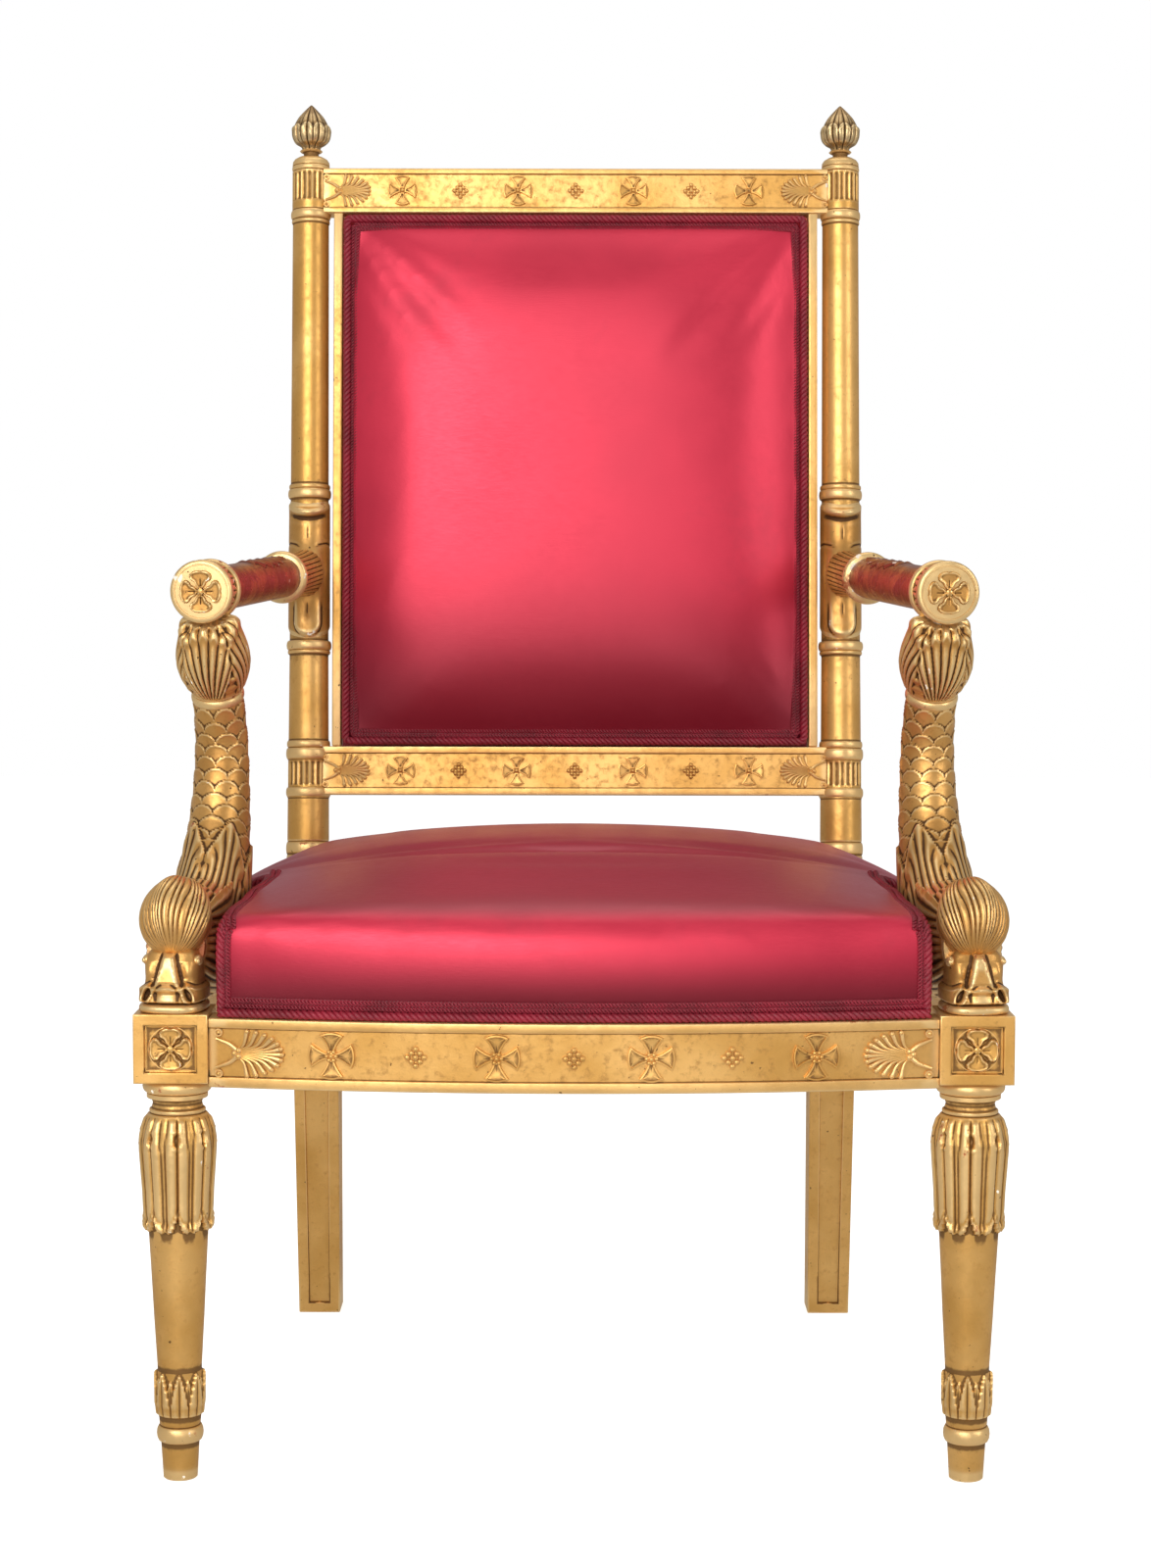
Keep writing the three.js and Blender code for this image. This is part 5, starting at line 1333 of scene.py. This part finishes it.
# Two rows of small crossed loops on a flat band; normal points away from the cloth
def braidBand(name, route, space, normal):
    path, along = evenly(route, gimp["step"])
    path, tangent, across, other = alongPath(path, normal)
    lift, side = across, other
    parts = []
    angle = np.linspace(0, 2 * math.pi, 10, endpoint=False)[None, :, None]
    band = path[:, None] + np.sign(np.cos(angle)) * np.abs(np.cos(angle)) ** 0.5 * gimp["width"] / 2 * side[:, None]
    band = band + (np.sin(angle) * 0.5 + 0.3) * lift[:, None]
    parts.append(shell("band", band[::4], space))
    for row in gimp["rows"]:
        for phase in (0, math.pi):
            turn = (2 * math.pi * along / gimp["pitch"] + phase)[:, None]
            lay = path + (row + gimp["swing"] * np.sin(turn)) * side + (1.2 + 0.6 * np.cos(turn)) * lift
            parts.append(tube("loop", lay, gimp["radius"], space, gimp["sides"], 1.0, normal))
    return joined(name, parts)


def rectangle(half, low, high, y, corner=1.5):
    loop = [(0, y, low), (half - corner, y, low), (half, y, low + corner), (half, y, high - corner)]
    loop += [(half - corner, y, high), (-half + corner, y, high), (-half, y, high - corner)]
    return loop + [(-half, y, low + corner), (-half + corner, y, low), (0, y, low)]


edge = cord["radius"] + 0.4
backCord = twistedCord("back_rope", rectangle(backPad["half"] - edge, backPad["low"] + edge, backPad["high"] - edge,
                                              backPad["face"] - 3.2), backSpace, (0, 1, 0))
dress(backCord, trimming, ["back_cord"], 80)
edge += cord["radius"] + gimp["width"] / 2 - 0.6
backBraid = braidBand("back_gimp", rectangle(backPad["half"] - edge, backPad["low"] + edge, backPad["high"] - edge,
                                             backPad["face"] - 0.6), backSpace, (0, -1, 0))
dress(backBraid, trimming, ["back_braid"], 80)


# The nearest places on the seat's cloth, a little above it
def onSeat(route, lift):
    places = []
    for point in route:
        _, spot, normal, _ = seatPad.closest_point_on_mesh(chairSpace @ Vector(point))
        places.append(tuple(chairSpace.inverted() @ (spot + normal * lift * mm)))
    return places


def seatRoute(outset, z, steps=40):
    half = seat["notch"][0] - 1
    return [(x, float(bowedY(x, seat["frontInset"] - outset)), z) for x in np.linspace(-half, half, steps)]


seatLow = chair["railTop"] + cord["radius"] + 0.4
notchX, notchBackX, notchY = seat["notch"]
cornerY = float(bowedY(notchX, 4.2))
frontRope = twistedCord("seat_rope_front", seatRoute(3.2, seatLow), chairSpace, (0, 0, 1))
dress(frontRope, trimming, ["seat_cord_front"], 80)


def topEdge(x, y):
    return float(seatHeight(np.array(x), np.array(y)))


sideRope = [(notchX + 1.6, cornerY, seatLow + 1), (notchX + 1.6, cornerY + 0.6, 400)]
sideRope += [(notchX + 1.6, cornerY + 2, 416), (notchX + 1.4, cornerY + 9, 420.5)]
sideRope += [(notchX + 1.6 + (notchBackX - notchX) * t, cornerY + (notchY - cornerY) * t,
              topEdge(notchX + (notchBackX - notchX) * t, cornerY + (notchY - cornerY) * t) + 1)
             for t in np.linspace(0.1, 0.97, 9)]
sideRope += [(notchBackX + 8, notchY - 3, topEdge(notchBackX + 8, notchY) - 0.5), (282, notchY + 0.5, 419),
             (291, notchY + 6, 410), (292.5, notchY + 10, 375), (292.5, notchY + 14, seatLow + 4)]
sideRope += [(292.5 + (254.5 - 292.5) * t, notchY + 16 + (438 - notchY - 16) * t, seatLow)
             for t in np.linspace(0.03, 1, 12)]
sideRope = onSeat(sideRope[:14], 2.2) + sideRope[14:]
rightRope = twistedCord("seat_rope_right", sideRope, chairSpace, (1, 0, 0.3))
leftRope = mirroredCopy(rightRope, "seat_rope_left")
dress(rightRope, trimming, ["seat_cord_side_right"], 80)
dress(leftRope, trimming, ["seat_cord_side_left"], 80)

inFrom = cord["radius"] + gimp["width"] / 2 - 0.7
lowGimp = [(x, float(bowedY(x, seat["frontInset"] - 0.3)), seatLow + inFrom) for x in
           np.linspace(-notchX + inFrom - 4, notchX - inFrom + 4, 50)]
upright = [(notchX + 1.6 - inFrom, float(bowedY(notchX - inFrom, seat["frontInset"] - 0.6)), z)
           for z in np.linspace(seatLow + 1, 422, 13)]
frontGimp = braidBand("seat_gimp_front", onSeat(lowGimp, 0.3), chairSpace, (0, -1, 0))
cornerGimp = braidBand("seat_gimp_corner_right", onSeat(upright, 0.3), chairSpace, (0, -1, 0))
otherGimp = mirroredCopy(cornerGimp, "seat_gimp_corner_left")
topGimp = [(notchX + 1.2 - inFrom + (notchBackX - notchX) * t, cornerY + 4 + (notchY - cornerY) * t, 0)
           for t in np.linspace(-0.06, 1.02, 28)]
topGimp = [(x, y, topEdge(x, y) + 0.9) for x, y, _ in topGimp]
notchGimp = braidBand("seat_gimp_notch_right", onSeat(topGimp, 0.4), chairSpace, (0, 0, 1))
otherNotch = mirroredCopy(notchGimp, "seat_gimp_notch_left")
for piece in (frontGimp, cornerGimp, otherGimp, notchGimp, otherNotch):
    dress(piece, trimming, (), 80)
print("trimming laid")

# Cloth stretched over the outer back, and the canvas and webbing under the seat

cover = {"half": 211.3, "low": 173.5, "high": 658.5, "y": 6.2, "bulge": 4.5}


def makeCover():
    bpy.ops.object.select_all(action="DESELECT")
    bpy.ops.mesh.primitive_grid_add(x_subdivisions=48, y_subdivisions=54, size=1)
    piece = bpy.context.object
    half, tall = cover["half"], (cover["high"] - cover["low"]) / 2
    for point in piece.data.vertices:
        x, z = point.co.x * 2, point.co.y * 2
        out = (1 - x ** 6) * (1 - z ** 6) * cover["bulge"]
        place = Vector((x * half, cover["y"] + 0.4 + out, cover["low"] + tall + z * tall))
        point.co = backSpace @ place
    piece.data.update()
    settled("back_outer_cloth")
    chooseFaces(piece, lambda face: True)
    bpy.ops.mesh.normals_make_consistent(inside=False)
    bpy.ops.object.mode_set(mode="OBJECT")
    if sum(face.normal.y for face in piece.data.polygons) < 0:
        piece.data.flip_normals()
    return applied(piece, "SOLIDIFY", thickness=1.0 * mm, offset=-1)


outerCloth = makeCover()
dress(outerCloth, backSatin, ["back_cover"], 60)


def makeCanvas():
    bpy.ops.object.select_all(action="DESELECT")
    bpy.ops.mesh.primitive_grid_add(x_subdivisions=40, y_subdivisions=40, size=1)
    piece = bpy.context.object
    for point in piece.data.vertices:
        u, v = point.co.x * 2, point.co.y + 0.5
        half = 257 + (216 - 257) * v
        sag = 3.5 * (1 - u ** 4) * (1 - (2 * v - 1) ** 4)
        point.co = chairSpace @ Vector((u * half, 9 + 440 * v, 352.4 - sag))
    piece.data.update()
    settled("seat_canvas_cloth")
    return applied(piece, "SOLIDIFY", thickness=0.8 * mm, offset=0)


canvas = makeCanvas()
dress(canvas, linen, ["seat_canvas"], 60)


def makeWebbing():
    straps = []
    lengthways = [(x, True) for x in (-180, -108, -36, 36, 108, 180)]
    crossways = [(y, False) for y in (70, 150, 230, 310, 390)]
    for place, runsBack in lengthways + crossways:
        along = np.linspace(0, 1, 90)
        if runsBack:
            x, y = place * (1 - 0.12 * along), 9 + 440 * along
        else:
            half = 250 - 38 * (place - 9) / 440
            x, y = half * (2 * along - 1), place + 0 * along
        weave = 0.9 * np.cos(math.pi * (y - 70) / 80 if runsBack else math.pi * (x - 36) / 72) * (1 if runsBack else -1)
        z = 345.6 + weave
        path, tangent, across, other = alongPath(np.stack([x + 0 * z, y + 0 * z, z], -1), (0, 0, 1))
        corner = np.array([(-0.4, -24), (-0.4, 24), (0.4, 24), (0.4, -24)])
        rings = path[:, None] + corner[None, :, 0:1] * across[:, None] + corner[None, :, 1:2] * other[:, None]
        straps.append(shell("strap", rings, chairSpace))
    return joined("seat_webbing", straps)


dress(makeWebbing(), webbing, (), 60)
print("outer cloth and webbing made")

# Floor, light and camera

studio = {"floorSize": 14, "keyPower": 54, "fillPower": 17, "topPower": 15, "lowPower": 10,
          "world": 0.36}


def makeFloor():
    bpy.ops.object.select_all(action="DESELECT")
    bpy.ops.mesh.primitive_plane_add(size=studio["floorSize"])
    floor = settled("studio_floor")
    material = bpy.data.materials.new("palePaper")
    tree, add = nodeTools(material)
    shader = tree.nodes["Principled BSDF"]
    shader.inputs["Base Color"].default_value = (0.88, 0.88, 0.88, 1)
    shader.inputs["Roughness"].default_value = 0.8
    shader.inputs["Emission Color"].default_value = (1, 1, 1, 1)
    shader.inputs["Emission Strength"].default_value = 0.72
    floor.data.materials.append(material)
    floor.visible_glossy = False
    floor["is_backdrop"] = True


def softBox(name, place, aim, size, power, tint=(1, 0.985, 0.96)):
    data = bpy.data.lights.new(name, "AREA")
    data.shape = "RECTANGLE"
    data.size, data.size_y = size
    data.energy = power
    data.color = tint
    lamp = bpy.data.objects.new(name, data)
    bpy.context.collection.objects.link(lamp)
    lamp.location = place
    lamp.rotation_euler = (Vector(aim) - Vector(place)).to_track_quat("-Z", "Y").to_euler()


makeFloor()
softBox("key", (-0.9, -2.75, 1.85), (0, 0, 0.85), (2.0, 1.6), studio["keyPower"])
softBox("fill", (2.2, -1.5, 1.4), (0, 0, 0.6), (0.8, 1.8), studio["fillPower"])
softBox("low", (-0.3, -2.6, 0.45), (0, 0, 0.25), (1.8, 0.6), studio["lowPower"])
softBox("top", (0, 0.3, 2.9), (0, 0, 0.4), (2.2, 1.6), studio["topPower"])

world = bpy.data.worlds.new("studio")
bpy.context.scene.world = world
tree, add = nodeTools(world)
background = tree.nodes["Background"]
seen = add("ShaderNodeLightPath").outputs["Is Camera Ray"]
tree.links.new(ramp(add, seen, 0.0, 1.0, studio["world"], 1.0), background.inputs["Strength"])
background.inputs["Color"].default_value = (1, 1, 1, 1)

cameraPlace = {"distance": 2.177, "height": 0.689, "pitch": 4.3, "lens": 67.5, "roll": 0.1, "side": 0.0008}
cameraData = bpy.data.cameras.new("photoCamera")
cameraData.lens = cameraPlace["lens"]
cameraData.sensor_width = 36
camera = bpy.data.objects.new("photoCamera", cameraData)
bpy.context.collection.objects.link(camera)
camera.location = (cameraPlace["side"], frontLegY - cameraPlace["distance"], cameraPlace["height"])
lookDown = Matrix.Rotation(math.radians(90 - cameraPlace["pitch"]), 4, "X")
camera.rotation_euler = (lookDown @ Matrix.Rotation(math.radians(cameraPlace["roll"]), 4, "Z")).to_euler()
bpy.context.scene.camera = camera
bpy.context.scene.view_settings.view_transform = "Standard"

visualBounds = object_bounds()
sizes = {"cad": [list(map(float, corner)) for corner in cadBounds],
         "visual": [list(map(float, corner)) for corner in visualBounds]}
total = sum(sum(len(face.vertices) - 2 for face in piece.data.polygons)
            for piece in bpy.data.objects if piece.type == "MESH" and not piece.hide_render)
print("visible triangles:", total)
